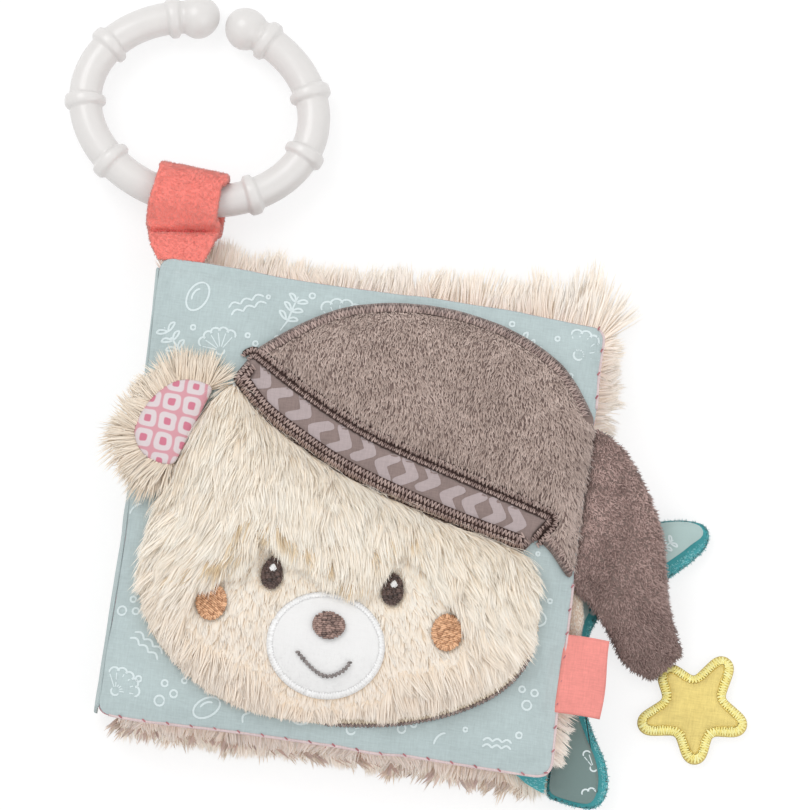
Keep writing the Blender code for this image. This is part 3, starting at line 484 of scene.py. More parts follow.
def pile(name, made, spacing, length, width, material, body, seed, lean=(0.2, -0.9, 0),
         keep=None, spread=0.3, rise=0.8):
    """Short pile: small leaning tufts all over a piece."""
    roots, normals = surface_points(made, spacing, seed, keep)
    source = rng(seed + 1)
    n = len(roots)
    sway = ripple(roots[:, 0], roots[:, 1], 0.008, seed)[:, None] * np.array([0.25, 0, 0])
    way = unit(normals * rise + np.array(lean) + sway + source.normal(0, spread, (n, 3)))
    side = unit(np.cross(way, normals + source.normal(0, 0.2, (n, 3))))
    other = np.cross(way, side)
    long = length * source.uniform(0.6, 1.2, n)[:, None]
    wide = width * source.uniform(0.75, 1.2, n)[:, None] / 2
    roots = roots - normals * width * 0.3
    lumps = ripple(roots[:, 0] + roots[:, 2], roots[:, 1], 0.0022, seed) * 0.25
    tone = np.clip(source.random(n) * 0.8 + 0.1 + lumps, 0, 1)
    corners = [side * math.cos(a) + other * math.sin(a) for a in TUFT_CORNERS]
    base = [roots + wide * corner for corner in corners]
    points = np.stack([*base, roots + way * long], 1).reshape(-1, 3)
    start = np.arange(n)[:, None] * 4
    faces = np.concatenate([start + np.array(f) for f in ((0, 1, 3), (1, 2, 3), (2, 0, 3))]).tolist()
    values = {"along": np.tile([0.2, 0.2, 0.2, 1], n), "tone": np.repeat(tone, 4)}
    made = piece(name, points, faces, material, body, values)
    facing = [normals * 1.1 + 0.6 * corner for corner in corners]
    return face_light(made, np.stack([*facing, normals + way * 0.4], 1).reshape(-1, 3))


def threads(name, starts, ends, width, arch, material, body, seed):
    """Single stitches: a round raised thread from each start to its end."""
    source = rng(seed)
    n = len(starts)
    across = unit(np.cross(UP, ends - starts))
    width = np.broadcast_to(width, n) * source.uniform(0.85, 1.1, n)
    arch = np.broadcast_to(arch, n) * source.uniform(0.8, 1.2, n)
    tone = source.random(n)
    points = []
    for t in THREAD_STATIONS:
        rise = arch * math.sin(math.pi * t) ** 0.6 if 0 < t < 1 else arch * 0
        at = starts + (ends - starts) * t + UP * rise[:, None]
        wide = (width * (0.6 if t in (0, 1) else 1) / 2)[:, None]
        points += [at - across * wide, at + UP * wide * 0.9, at + across * wide]
    points = np.stack(points, 1).reshape(-1, 3)
    count = 3 * len(THREAD_STATIONS)
    base = np.arange(n)[:, None] * count
    faces = [(k + s, k + s + 3, k + s + 4, k + s + 1) for k in range(0, count - 3, 3) for s in (0, 1)]
    faces = np.concatenate([base + np.array(f) for f in faces]).tolist()
    # Along is 1 on each thread's crown and 0 at its sides, so the thread material paints the crown lighter: a
    # painted highlight.
    values = {"tone": np.repeat(tone, count), "along": np.tile([0.0, 1.0, 0.0], n * count // 3)}
    return piece(name, points, faces, material, body, values)


def satin(name, path, width, pitch, z_of, material, slot, body, seed, arch=0.0004, slant=0.35,
          closed=True, drop=None, thick=1.25):
    """A border of close stitches across a path. Drop gives the height of its outer ends."""
    line = np.vstack([path, path[:1]]) if closed else path
    run = run_of(line)
    at = np.linspace(0, run[-1], int(run[-1] / pitch), endpoint=not closed)
    spot = places(line, run, at)
    way = unit(places(line, run, at + SATIN_REACH) - places(line, run, at - SATIN_REACH))
    side = right_of(way) * (hand(path) if closed else 1)
    source = rng(seed)
    n = len(spot)
    jitter = source.normal(0, 0.06, (n, 1)) * width
    flip = np.where(np.arange(n) % 2, 1, -1)[:, None]
    inner = spot - side * (width / 2 + jitter) - way * width * slant / 2 * flip
    outer = spot + side * (width / 2 + jitter) + way * width * slant / 2 * flip
    lows = z_of(inner)
    highs = z_of(outer) if drop is None else drop(outer)
    starts = np.c_[inner, lows + pitch * 0.2]
    ends = np.c_[outer, highs + pitch * 0.2]
    return threads(name, starts, ends, pitch * thick, arch, material, body, seed)


def felt_border(name, line, width, pitch, ground, felt, thread, seed, **how):
    """An open satin border over a strip of felt. The felt is what it is made of and how far it shows."""
    material, slot, past = felt
    strokes(f"{name}_ground", [respaced(line, 0.0008)], width / 2 + past, ground, material,
            "front_cover", 0.0001)
    satin(name, line, width, pitch, ground, thread, "brown_thread", "front_cover", seed, closed=False,
          **how)


def embroidered(name, loop, angle, pitch, long, z_of, material, body, seed):
    """A shape filled with rows of stitches that run at an angle."""
    way = heading(angle)
    side = np.array([-way[1], way[0]])
    low, high = (loop @ side).min(), (loop @ side).max()
    source = rng(seed)
    starts, ends = [], []
    for level in np.arange(low + pitch / 2, high, pitch):
        a, b = loop, np.roll(loop, -1, 0)
        h, k = a @ side - level, b @ side - level
        cut = (h > 0) != (k > 0)
        t = (h / np.where(h == k, 1, h - k))[cut][:, None]
        cross = np.sort((a[cut] + (b[cut] - a[cut]) * t) @ way)
        if len(cross) < 2:
            continue
        stops = [cross[0] - source.uniform(0, 0.3) * pitch]
        while stops[-1] < cross[-1]:
            stops.append(stops[-1] + long * source.uniform(0.6, 1.2))
        stops[-1] = cross[-1] + source.uniform(0, 0.3) * pitch
        for p, q in zip(stops, stops[1:]):
            starts.append(way * p + side * (level + source.normal(0, 0.08) * pitch))
            ends.append(way * q + side * (level + source.normal(0, 0.08) * pitch))
    starts, ends = np.array(starts), np.array(ends)
    starts, ends = np.c_[starts, z_of(starts)], np.c_[ends, z_of(ends)]
    return threads(name, starts, ends, pitch * 1.3, STITCH_ARCH, material, body, seed)


def strokes(name, paths, half, z_of, material, body, rise=PRINT_RISE):
    """Flat printed lines along paths, each with narrowed ends."""
    points, faces = [], []
    for path in paths:
        path = np.asarray(path)
        side = path_ways(path)[1]
        start = len(points)
        taper = np.ones(len(path))
        taper[0] = taper[-1] = 0.55
        for p, s, t in zip(path, side, taper):
            points += [p + s * half * t, p - s * half * t]
        faces += [(a, a + 2, a + 3, a + 1) for a in range(start, start + 2 * len(path) - 2, 2)]
    points = np.array(points)
    return piece(name, np.c_[points, z_of(points) + rise], faces, material, body)


# Materials


def add(tree, kind, settings=None, **inputs):
    """A node with its inputs set. One letter stands for an input's place, a word for its name."""
    made = tree.nodes.new(kind)
    for key, value in (settings or {}).items():
        setattr(made, key, value)
    for key, value in inputs.items():
        socket = made.inputs["abcdefgh".index(key) if len(key) == 1 else key.replace("_", " ")]
        if isinstance(value, bpy.types.NodeSocket):
            tree.links.new(value, socket)
        else:
            socket.default_value = value
    return made


def ramp(tree, value, *stops):
    """Colours along a value: stops are (place, colour)."""
    made = add(tree, "ShaderNodeValToRGB", Fac=value)
    band = made.color_ramp
    while len(band.elements) < len(stops):
        band.elements.new(0.5)
    for element, (place, colour) in zip(band.elements, stops):
        element.position = place
        element.color = (*colour, 1)
    return made.outputs[0]


def number(tree, operation, a, b=0.0, c=0.0):
    return add(tree, "ShaderNodeMath", {"operation": operation}, a=a, b=b, c=c).outputs[0]


def start_material(name, **constants):
    """A material, its nodes and its shader, whose constants are named with _ for a space."""
    made = bpy.data.materials.new(name)
    made.use_nodes = True
    shader = made.node_tree.nodes["Principled BSDF"]
    for key, value in {"Sheen_Roughness": 0.5, **constants}.items():
        shader.inputs[key.replace("_", " ")].default_value = value
    return made, made.node_tree, shader


def finish(tree, shader, colour, height, strength, distance=0.0001):
    """Link the colour, and the height that bumps follow."""
    bump = add(tree, "ShaderNodeBump", Strength=strength, Distance=distance, Height=height)
    tree.links.new(colour, shader.inputs["Base Color"])
    tree.links.new(bump.outputs[0], shader.inputs["Normal"])


def object_place(tree):
    return add(tree, "ShaderNodeTexCoord").outputs["Object"]


def noise(tree, x, y, z, detail):
    """Noise with so many lumps to a metre along each axis."""
    place = add(tree, "ShaderNodeMapping", Vector=object_place(tree), Scale=(x, y, z)).outputs[0]
    return add(tree, "ShaderNodeTexNoise", Vector=place, Scale=1.0, Detail=detail,
               Roughness=0.6).outputs["Fac"]


def strand_colour(tree, first, second, *stops):
    """Colours from two values that strands carry, the first a little stronger than the second."""
    first, second = (
        add(tree, "ShaderNodeAttribute", {"attribute_name": key}).outputs["Fac"] for key in (first, second)
    )
    mixed = number(tree, "MULTIPLY_ADD", second, 0.45, number(tree, "MULTIPLY", first, 0.55))
    return ramp(tree, mixed, *stops) if stops else mixed


def tint(tree, colour, value, low, high):
    """A colour made darker and lighter by a value."""
    dark = tuple(c * low for c in colour)
    light = tuple(min(1, c * high) for c in colour)
    return ramp(tree, value, (0.3, dark), (0.7, light))


def multiplied(tree, one, other):
    mixed = add(tree, "ShaderNodeMix", {"data_type": "RGBA", "blend_type": "MULTIPLY"})
    mixed.inputs[0].default_value = 1.0
    tree.links.new(one, mixed.inputs[6])
    tree.links.new(other, mixed.inputs[7])
    return mixed.outputs[2]


def hair_material(name, root, middle, tip, cloud=0.0, glow=0.0, below=None):
    """Pile that is darker at its root, which is painted shade between the fibres, and varies from lock
    to lock, and over a wide cloud if asked.

    The glow stands for light that passes through the fine fibres. Below gives a height on the cover,
    the height under it where the pile is darkest, and the colour it is multiplied by there: painted
    shade, darker towards the bottom.
    """
    made, tree, shader = start_material(name, Roughness=0.8, Sheen_Weight=0.3, Specular_IOR_Level=0.15)
    mixed = strand_colour(tree, "along", "tone")
    if cloud:
        wide = number(tree, "SUBTRACT", noise(tree, 75, 75, 75, 2.0), 0.5)
        mixed = number(tree, "MULTIPLY_ADD", wide, cloud, mixed)
    # The ramp runs from a darker root to a lighter tip: painted shade between the fibres.
    colour = ramp(tree, mixed, (0.05, root), (0.4, middle), (0.8, tip))
    if below:
        start, end, shade = below
        place = add(tree, "ShaderNodeSeparateXYZ", a=object_place(tree))
        down = number(tree, "MULTIPLY_ADD", place.outputs["Y"], 1 / (end - start), -start / (end - start))
        colour = multiplied(tree, ramp(tree, down, (0.0, (1, 1, 1)), (1.0, shade)), colour)
    finish(tree, shader, colour, noise(tree, 2500, 2500, 2500, 1.0), 0.15)
    if glow:
        tree.links.new(colour, shader.inputs["Emission Color"])
        shader.inputs["Emission Strength"].default_value = glow
    return made


def thread_material(name, dark, light):
    """Shiny embroidery thread, each stitch a little different, and lighter along its crown than at its sides:
    a painted highlight.
    """
    made, tree, shader = start_material(name, Roughness=0.45, Sheen_Weight=0.1, Specular_IOR_Level=0.5)
    colour = strand_colour(tree, "tone", "along", (0.1, dark), (0.9, light))
    finish(tree, shader, colour, noise(tree, 6000, 6000, 1500, 1.0), 0.25)
    return made


def weave(tree):
    """The warp and weft of a plain cotton, as streaks both ways."""
    fine, long = 2600, 2600 * 0.12
    warp, weft = noise(tree, fine, long, long, 2.0), noise(tree, long, fine, long, 2.0)
    return number(tree, "ADD", number(tree, "MULTIPLY", warp, 0.5), number(tree, "MULTIPLY", weft, 0.5))


def cloth_material(name, colour, roughness=0.85, contrast=0.10, bump=0.25, pattern=None):
    made, tree, shader = start_material(name, Roughness=roughness, Sheen_Weight=0.12,
                                        Specular_IOR_Level=0.2)
    cloth = weave(tree)
    wide = noise(tree, 60, 60, 60, 2.0)
    mixed = number(tree, "MULTIPLY_ADD", wide, 0.3, number(tree, "MULTIPLY", cloth, 0.7))
    base = tint(tree, colour, mixed, 1 - contrast, 1 + contrast)
    finish(tree, shader, pattern(tree, base) if pattern else base, cloth, bump, 0.0002)
    return made


def squares(ground, figure, dot, pitch, turn, middle):
    """Rows of rounded squares, each with a dot in its middle."""
    start = 0.44 - spin(turn) @ np.array(middle) / pitch

    def paint(tree, base):
        def moved(operation, **values):
            return add(tree, "ShaderNodeVectorMath", {"operation": operation}, **values).outputs[0]

        place = add(tree, "ShaderNodeMapping", Vector=object_place(tree), Location=(*start, 0),
                    Rotation=(0, 0, turn), Scale=(1 / pitch, 1 / pitch, 0)).outputs[0]
        wobble = add(tree, "ShaderNodeTexNoise", Vector=place, Scale=2.0, Detail=0.0).outputs["Color"]
        cell = moved("FRACTION", a=moved("MULTIPLY_ADD", a=wobble, b=(0.12, 0.12, 0), c=place))
        split = add(tree, "ShaderNodeSeparateXYZ", Vector=moved("SUBTRACT", a=cell, b=(0.5, 0.5, 0)))
        x, y = (number(tree, "POWER", number(tree, "ABSOLUTE", split.outputs[k]), 4.0) for k in (0, 1))
        reach = number(tree, "POWER", number(tree, "ADD", x, y), 0.25)
        shape = ramp(tree, reach, (0.0, dot), (0.16, dot), (0.20, figure), (0.41, figure), (0.45, ground))
        return add(tree, "ShaderNodeMixRGB", {"blend_type": "MULTIPLY"}, a=1.0, b=base, c=shape).outputs[0]

    return paint


def fin_colour_with_painted_shade(tree, base):
    """The fin's colour with painted shade: paler on its upper lobe, darker towards its lower one."""
    place = add(tree, "ShaderNodeSeparateXYZ", a=object_place(tree))
    up = number(tree, "MULTIPLY_ADD", place.outputs["Y"], 16.0, 0.75)
    shade = ramp(tree, up, (0.1, (0.19, 0.265, 0.255)), (0.8, (0.44, 0.57, 0.555)))
    return multiplied(tree, shade, base)


# Cream hair is darker towards the bottom of the face (below): painted shade.
CREAM_HAIR = hair_material("cream_hair", (0.94, 0.78, 0.59), (0.98, 0.88, 0.745), (0.99, 0.94, 0.85),
                           glow=0.04, below=(-0.018, -0.056, (0.93, 0.89, 0.88)))
PEACH_HAIR = hair_material("peach_hair", (0.95, 0.81, 0.65), (1.0, 0.90, 0.785), (1.0, 0.95, 0.88),
                           glow=0.06)
EAR_HAIR = hair_material("ear_hair", (0.86, 0.71, 0.55), (0.88, 0.75, 0.61), (0.93, 0.84, 0.72), glow=0.01)
SHORN_HAIR = hair_material("shorn_hair", (0.90, 0.77, 0.61), (0.98, 0.89, 0.77), (1.0, 0.95, 0.87))
# Darker tan hair round the brow and over the left cheek: painted shade under the overhanging fur.
SHADE_HAIR = hair_material("shade_hair", (0.45, 0.30, 0.15), (0.76, 0.58, 0.36), (0.96, 0.84, 0.66))
TAUPE_PILE = hair_material("taupe_pile", (0.21, 0.155, 0.14), (0.52, 0.40, 0.35), (0.79, 0.64, 0.575),
                           cloud=0.3)
# Tail pile is darker towards the tail's lower end (below): painted shade.
TAIL_PILE = hair_material("tail_pile", (0.10, 0.06, 0.055), (0.36, 0.245, 0.22), (0.72, 0.52, 0.475),
                          cloud=0.5, below=(0.012, -0.028, (0.66, 0.65, 0.65)))
CORAL_PILE = hair_material("coral_pile", (1.0, 0.25, 0.20), (1.0, 0.31, 0.26), (1.0, 0.37, 0.32))
TURQUOISE_PILE = hair_material("turquoise_pile", (0.08, 0.38, 0.42), (0.21, 0.62, 0.655),
                               (0.44, 0.83, 0.845))
WHITE_PILE = hair_material("white_pile", (0.78, 0.775, 0.77), (0.84, 0.835, 0.83), (0.90, 0.90, 0.90))
BROWN_THREAD = thread_material("brown_thread", (0.012, 0.007, 0.006), (0.16, 0.10, 0.085))
NOSE_THREAD = thread_material("nose_thread", (0.022, 0.009, 0.008), (0.50, 0.33, 0.28))
MOUTH_THREAD = thread_material("mouth_thread", (0.055, 0.045, 0.043), (0.32, 0.28, 0.27))
BORDER_THREAD = thread_material("border_thread", (0.13, 0.075, 0.068), (0.56, 0.42, 0.375))
EDGE_THREAD = thread_material("edge_thread", (0.05, 0.03, 0.027), (0.42, 0.32, 0.29))
COPPER_THREAD = thread_material("copper_thread", (0.26, 0.09, 0.03), (1.0, 0.60, 0.35))
WHITE_THREAD = thread_material("white_thread", (0.84, 0.835, 0.83), (1.0, 1.0, 1.0))
TAN_THREAD = thread_material("tan_thread", (0.36, 0.26, 0.17), (0.92, 0.82, 0.66))
YELLOW_THREAD = thread_material("yellow_thread", (0.93, 0.76, 0.17), (1.0, 0.97, 0.48))
GOLD_THREAD = thread_material("gold_thread", (0.62, 0.44, 0.06), (0.86, 0.66, 0.17))
SKIN = cloth_material("cream_backing", (0.80, 0.66, 0.51))
DARK_FELT = cloth_material("dark_felt", (0.060, 0.035, 0.030))
PIPING = cloth_material("pale_piping", (0.70, 0.56, 0.56), contrast=0.2)
FLEECE = cloth_material("white_fleece", (0.86, 0.855, 0.85), contrast=0.03, bump=0.1)
TAN_CLOTH = cloth_material("tan_backing", (0.74, 0.59, 0.46), contrast=0.06)
TEAL = cloth_material("teal_cotton", (0.475, 0.563, 0.567), contrast=0.14)
FIN_TEAL = cloth_material("fin_cotton", (1, 1, 1), contrast=0.04, pattern=fin_colour_with_painted_shade)
TAUPE_CLOTH = cloth_material("taupe_backing", (0.25, 0.185, 0.165))
BAND_CLOTH = cloth_material("band_cotton", (0.27, 0.205, 0.19), contrast=0.2)
LILAC_PRINT = cloth_material("lilac_print", (0.45, 0.375, 0.375), contrast=0.14)
WHITE_PRINT = cloth_material("white_print", (0.71, 0.80, 0.81), contrast=0.08)
CORAL_CLOTH = cloth_material("coral_backing", (1.0, 0.26, 0.22), contrast=0.05)
LABEL_CLOTH = cloth_material("coral_tape", (0.86, 0.30, 0.265), roughness=0.6, contrast=0.16)
YELLOW_CLOTH = cloth_material("yellow_cotton", (0.81, 0.65, 0.225), contrast=0.2)
WHITE_CLOTH = cloth_material("white_cotton", (0.84, 0.83, 0.80))
TURQUOISE_CLOTH = cloth_material("turquoise_backing", (0.09, 0.42, 0.45))
PINK = (0.85, 0.42, 0.48)
DEEP_PINK = (0.80, 0.26, 0.36)
PALE = (0.91, 0.80, 0.82)
# The ear's print: the pink print's colours darkened to 0.81, painted shade from the ear's fringe.
EAR_TONES_IN_PAINTED_SHADE = [tuple(0.81 * c for c in tone) for tone in (PINK, PALE, DEEP_PINK)]
EAR_CLOTH = cloth_material("ear_cotton", (1, 1, 1), contrast=0.05,
                           pattern=squares(*EAR_TONES_IN_PAINTED_SHADE, 0.0058, math.radians(4), (-0.0553, 0.0245)))
PINK_CLOTH = cloth_material("pink_cotton", (1, 1, 1), contrast=0.05,
                            pattern=squares(PINK, PALE, DEEP_PINK, 0.0085, math.radians(45), (0, 0)))


def plastic_material():
    made, tree, shader = start_material(
        "white_plastic", Roughness=0.28, Coat_Weight=0.15, Specular_IOR_Level=0.5,
        Subsurface_Weight=0.15, Subsurface_Radius=(0.004, 0.004, 0.004), Subsurface_Scale=1.0
    )
    soft = noise(tree, 250, 250, 250, 2.0)
    finish(tree, shader, tint(tree, (0.755, 0.735, 0.72), soft, 0.99, 1.01), soft, 0.05, 0.0002)
    return made


def foil_material():
    made, tree, shader = start_material("crinkle_film", Roughness=0.25, Specular_IOR_Level=0.6,
                                        Metallic=0.8)
    crumple = noise(tree, 220, 220, 220, 3.0)
    finish(tree, shader, tint(tree, (0.75, 0.75, 0.77), crumple, 0.85, 1.1), crumple, 0.6, 0.001)
    return made


def dress_inner_nodes():
    """The wadding and film inside the covers keep their CAD solids, with real finishes."""
    finishes = {"foil": foil_material(), "wadding": WHITE_CLOTH}
    for name, node in frame["nodes"].items():
        for kind, material in finishes.items():
            if kind in name:
                for slot in node.material_slots:
                    slot.material = material


# Covers and leaf


def square(half, corner, x=0.0, wave=0.0, seed=1, corners=None):
    """A square outline with round corners, its sides a little uneven, its corners moved if asked."""
    loop = []
    for quarter in range(4):
        turn = quarter * math.pi / 2
        mid = turn + math.pi / 4
        centre = (half - corner) * math.sqrt(2) * heading(mid)
        for k in range(7):
            loop.append(centre + corner * heading(turn + k / 6 * math.pi / 2))
    loop = soften(np.array(loop), 0.0012, 1)
    push = wave * (ripple(*loop.T, 0.011, seed) + ripple(*loop.T, 0.03, seed + 1))
    loop = loop + outward(loop) * push[:, None]
    if corners is not None:
        u, v = (np.clip(loop[:, k:k + 1] / half, -1, 1) for k in (0, 1))
        moved = sum(np.array(move) * (1 + su * u) * (1 + sv * v) / 4
                    for move, su, sv in zip(corners, (-1, 1, 1, -1), (1, 1, -1, -1)))
        waist = 0.0010 * np.clip(-u, 0, 1) * (1 - v**2)
        loop = loop + moved + np.c_[waist, waist * 0]
    return loop + np.array([x, 0])


def puff(x, y, half=COVER_HALF):
    return 1 - np.clip(np.maximum(np.abs(x), np.abs(y)) / half, 0, 1) ** 10


def folds(x, y, seed=11):
    """Creases of a stuffed cotton cover, deepest towards its seams and corners."""
    near = np.clip(np.maximum(np.abs(x), np.abs(y)) / COVER_HALF, 0, 1) ** 4
    side = np.abs(x) > np.abs(y)
    run = np.where(side, y, x)
    across = np.where(side, x, y)
    pulled = ripple(run, across * 0.35, 0.0065, seed)
    wide = ripple(x, y, 0.021, seed + 1)
    corner = np.clip((np.abs(x) + np.abs(y)) / COVER_HALF - 1.35, 0, 1)
    drawn = ripple(x + y * np.sign(x * y), x * 0.1, 0.006, seed + 2) * corner
    return 0.00060 * near * pulled + 0.00055 * wide * (0.4 + 0.6 * near) + 0.0007 * drawn


def cover_surface(points):
    """The front cover's top as modelled, where the head and the cap are seated."""
    x, y = points[:, 0], points[:, 1]
    return FRONT_SEAM + SEAT + FRONT_PUFF * puff(x, y) + folds(x, y)


PIPING_STEP = 0.0010
SEAM_STITCH = 0.0068


def make_front_cover():
    loop = square(COVER_HALF - 0.0003, COVER_CORNER, wave=0.00045, corners=COVER_MOVES)
    flat = fill(loop, 0.0014)
    x, y = flat[0].T
    seam = distance(flat[0], loop)
    edge = eased(seam, 0.0022)
    stitched = 0.0006 * bell(x + COVER_HALF - 0.0034, 0.0007)
    stitched = stitched + 0.00035 * bell(seam - 0.0026, 0.0008) * (1 + ripple(x, y, 0.004, 12))
    top = FRONT_SEAM + 0.00025 + edge * (cover_surface(flat[0]) - FRONT_SEAM - 0.00025 - stitched)
    outer = slab("front_cover_cloth", flat, np.maximum(top - CLOTH, FRONT_SEAM + 0.0001), top, TEAL,
                 "front_cover", 0.0002)
    sewn(outer, 0.5, "front_cover_outer")
    under = FRONT_SEAM - 0.0002 - edge * (FRONT_SAG * puff(x, y) + CLOTH - 0.0002 - folds(x, y, 31) * 0.7)
    sewn(slab("front_cover_inner_cloth", flat, under, np.minimum(under + CLOTH, FRONT_SEAM - 0.0001),
              PINK_CLOTH, "front_cover", 0.0003), 0.4, "front_cover_lining")
    beside = (loop[:, 0] > COVER_HALF - 0.004) & ((loop[:, 1] > 0.040) | (loop[:, 1] < -0.008))
    shown = ((loop[:, 1] < -COVER_HALF + 0.004) & (loop[:, 0] > -COVER_HALF + 0.004)) | beside
    red = thread_material("seam_thread", (0.30, 0.07, 0.09), (0.55, 0.20, 0.22))
    for k, path in enumerate(stretches(loop, shown)):
        make_piping(f"front_piping_{k + 1}", path, 0.00040, 0.0002)
        path = respaced(path, SEAM_STITCH)
        way, side = path_ways(path)
        starts = path - side * 0.0003
        z = np.full(len(path), FRONT_SEAM + 0.0008)
        threads(f"front_seam_stitches_{k + 1}", np.c_[starts, z],
                np.c_[starts + way * 0.0011 + side * 0.0007, z - 0.0003], 0.00045, 0.0001, red,
                "front_cover", 5)
    return outer


def make_piping(name, path, radius, out):
    """A thin rolled edge of cloth that shows along the cover's seam."""
    path = respaced(path, PIPING_STEP)
    x, y = path.T
    side = path_ways(path)[1]
    centre = np.c_[path + side * out, FRONT_SEAM + 0.0002 + 0.0002 * ripple(x, y, 0.004, 8)]
    thick = radius * (1 + 0.15 * ripple(x, y, 0.003, 9))[:, None]
    points, faces = tube(np.stack([
        centre + thick * (np.c_[side * math.cos(a), np.full(len(path), math.sin(a))]) for a in angles(10)
    ], 1))
    piece(name, points, faces, PIPING, "front_cover")


def make_leaf():
    low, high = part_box("leaf_front_panel")
    half, middle = (high.x - low.x) / 2, (high.x + low.x) / 2
    loop = square(half - 0.0003, COVER_CORNER, middle, 0.0003, 7)
    flat = fill(loop, 0.0018)
    x, y = flat[0].T
    x = x - middle
    edge = eased(distance(flat[0], loop), 0.0018)
    rise = 0.0001 + edge * (LEAF_PUFF * puff(x, y, half) + CLOTH - 0.0001 + folds(x, y, 51) * 0.4)
    sewn(slab("leaf_front_cloth", flat, LEAF_SEAM + 0.00005, LEAF_SEAM + rise, WHITE_CLOTH,
              "leaf", 0.0001), 0.3, "leaf_front_panel", "leaf_crinkle_foil")
    sewn(slab("leaf_back_cloth", flat, LEAF_SEAM - rise, LEAF_SEAM - 0.00005, PINK_CLOTH,
              "leaf", 0.0001), 0.3, "leaf_back_panel")


def make_back_cover():
    loop = square(COVER_HALF - 0.0003, COVER_CORNER, 0, 0.0004, 3)
    flat = fill(loop, 0.0016)
    x, y = flat[0].T
    edge = eased(distance(flat[0], loop), 0.0022)
    top = BACK_SEAM + 0.0001 + edge * (BACK_PUFF * puff(x, y) + CLOTH + folds(x, y, 71) * 0.6)
    sewn(slab("back_cover_inner_cloth", flat, BACK_SEAM + 0.00005, top, PINK_CLOTH,
              "back_cover", 0.0001), 0.5, "back_cover_lining")
    bottom = BACK_SEAM - 0.0002 - edge * (BACK_SEAM - 0.0012)
    backing = slab("back_cover_backing", flat, bottom, BACK_SEAM - 0.0001, SKIN,
                   "back_cover", 0.0001)
    make_back_fur(loop, sewn(backing, 0.5, "back_cover_plush"))


ROLL_STATIONS = 40
TUFT_STRANDS = 420


def make_side_pieces():
    """What shows of the plush past the front cover's right edge, held by the leaf: a roll and a tuft."""
    ys = np.linspace(-0.0060, -0.0290, ROLL_STATIONS)
    centre = np.c_[0.0652 + 0.0016 * ramped(-0.010 - ys, 0.008), ys, np.full(len(ys), 0.0125)]
    size = 0.0019 * np.sin(np.linspace(0.25, math.pi - 0.25, len(ys))) ** 0.3
    points, faces = tube(np.stack([
        centre + size[:, None] * (math.cos(a) * 1.55, 0, math.sin(a)) for a in angles(14)
    ], 1))
    roll = piece("side_roll", points, faces, TAN_CLOTH, "leaf")
    pile("side_roll_pile", roll, 0.00045, 0.0009, 0.00045, SHORN_HAIR, "leaf", 37,
         lean=(0.1, -0.9, 0), rise=0.4, spread=0.2)
    source, n = rng(38), TUFT_STRANDS
    y = source.uniform(-0.0580, -0.0430, n)
    roots = np.c_[source.uniform(0.0625, 0.0650, n), y, source.uniform(0.0112, 0.0135, n)]
    flow = np.c_[np.ones(n), -0.5 + 0.6 * ripple(y, y, 0.004, 39), np.zeros(n)]
    reach = 0.0085 * (1 + 0.3 * ripple(y, y * 0.5, 0.003, 40))
    strands("side_tuft", roots, UP, flow, reach, 0.00045, PEACH_HAIR, "cream_plush", "leaf", 39,
            lift=0.1, droop=1.3, clump=0.004, gather=0.4, locks=0.03, even=0.1)


# Each layer's height, its rise in radians, its share of the full length and its seed
BACK_FRINGE = (
    (0.0034, -0.05, 0.95, 22), (0.0042, 0.08, 1.0, 23), (0.0050, 0.22, 0.95, 24),
    (0.0026, -0.08, 0.85, 25), (0.0056, 0.38, 0.7, 28),
)
BACK_TOP, BACK_BOTTOM, BACK_CORNERS, BACK_RIGHT = 0.0150, 0.0074, 0.0085, 0.0035


def make_back_fur(loop, backing):
    """Long pile round three edges of the back cover, and pressed flat under it."""
    source = rng(21)
    run = soften(loop, 0.00017, 0)
    out = outward(run)
    x, y = run.T
    top = BACK_TOP + 0.0030 * np.clip(x / COVER_HALF, -1, 1)
    top = top + 0.0040 * bell(x - 0.058, 0.014)
    right = np.where((y > 0.02) | (y < -0.044), BACK_CORNERS, BACK_RIGHT)
    full = np.where(out[:, 1] > 0.7, top, np.where(out[:, 1] < -0.7, BACK_BOTTOM, right))
    start = np.where(y < 0, -0.0575, -COVER_HALF + 0.0015)
    lumps = 1 + 0.14 * ripple(x, y, 0.007, 35) + 0.06 * ripple(x, y, 0.0028, 36)
    for layer, (z, lift, share_of, seed) in enumerate(BACK_FRINGE):
        reach = full * share_of
        free = (x > start) & (source.random(len(x)) < np.where(reach > 0.004, 1, 0.5))
        sway = 0.3 * ripple(x[free], y[free], 0.009, 29 + layer)
        fringe(f"back_fringe_{layer + 1}", run[free], out[free], z, (0.0004, 0.0034), 0.0003,
               reach[free] * lumps[free], sway, "back_cover", seed, source, width=0.00040,
               material=PEACH_HAIR, lift=lift, droop=1.2, clump=0.006, gather=0.32, fan=0.14,
               tangle=0.06, locks=0.022, even=0.07)
    under, normals = surface_points(backing, 0.00115, 26, lambda p, m: (m[:, 2] < -0.5) & (p[:, 0] > -0.0575))
    sway = ripple(under[:, 0], under[:, 1], 0.012, 33)
    flow = np.c_[sway * 0.9, -np.ones(len(under)), np.zeros(len(under))]
    strands("back_fur", under, normals, flow, 0.0095, 0.0010, CREAM_HAIR, "cream_plush",
            "back_cover", 27, lift=0.16, droop=1.7, clump=0.004, gather=0.6, parts=3)


# Head and cap


def oval_of(node):
    """A CAD node's middle and half sizes, seen from above."""
    low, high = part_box(node)
    return np.array([(low.x + high.x) / 2, (low.y + high.y) / 2]), (high.x - low.x) / 2, (high.y - low.y) / 2


def oval(centre, wide, high, count=40, tip=0.0):
    a = angles(count)
    narrow = 1 + tip * np.sin(a)
    return np.c_[centre[0] + wide * np.cos(a) * narrow, centre[1] + high * np.sin(a)]


def oval_share(points, centre, wide, high):
    """The square of how far points are from an oval's middle: 1 on its edge."""
    return ((points[:, 0] - centre[0]) / wide) ** 2 + ((points[:, 1] - centre[1]) / high) ** 2


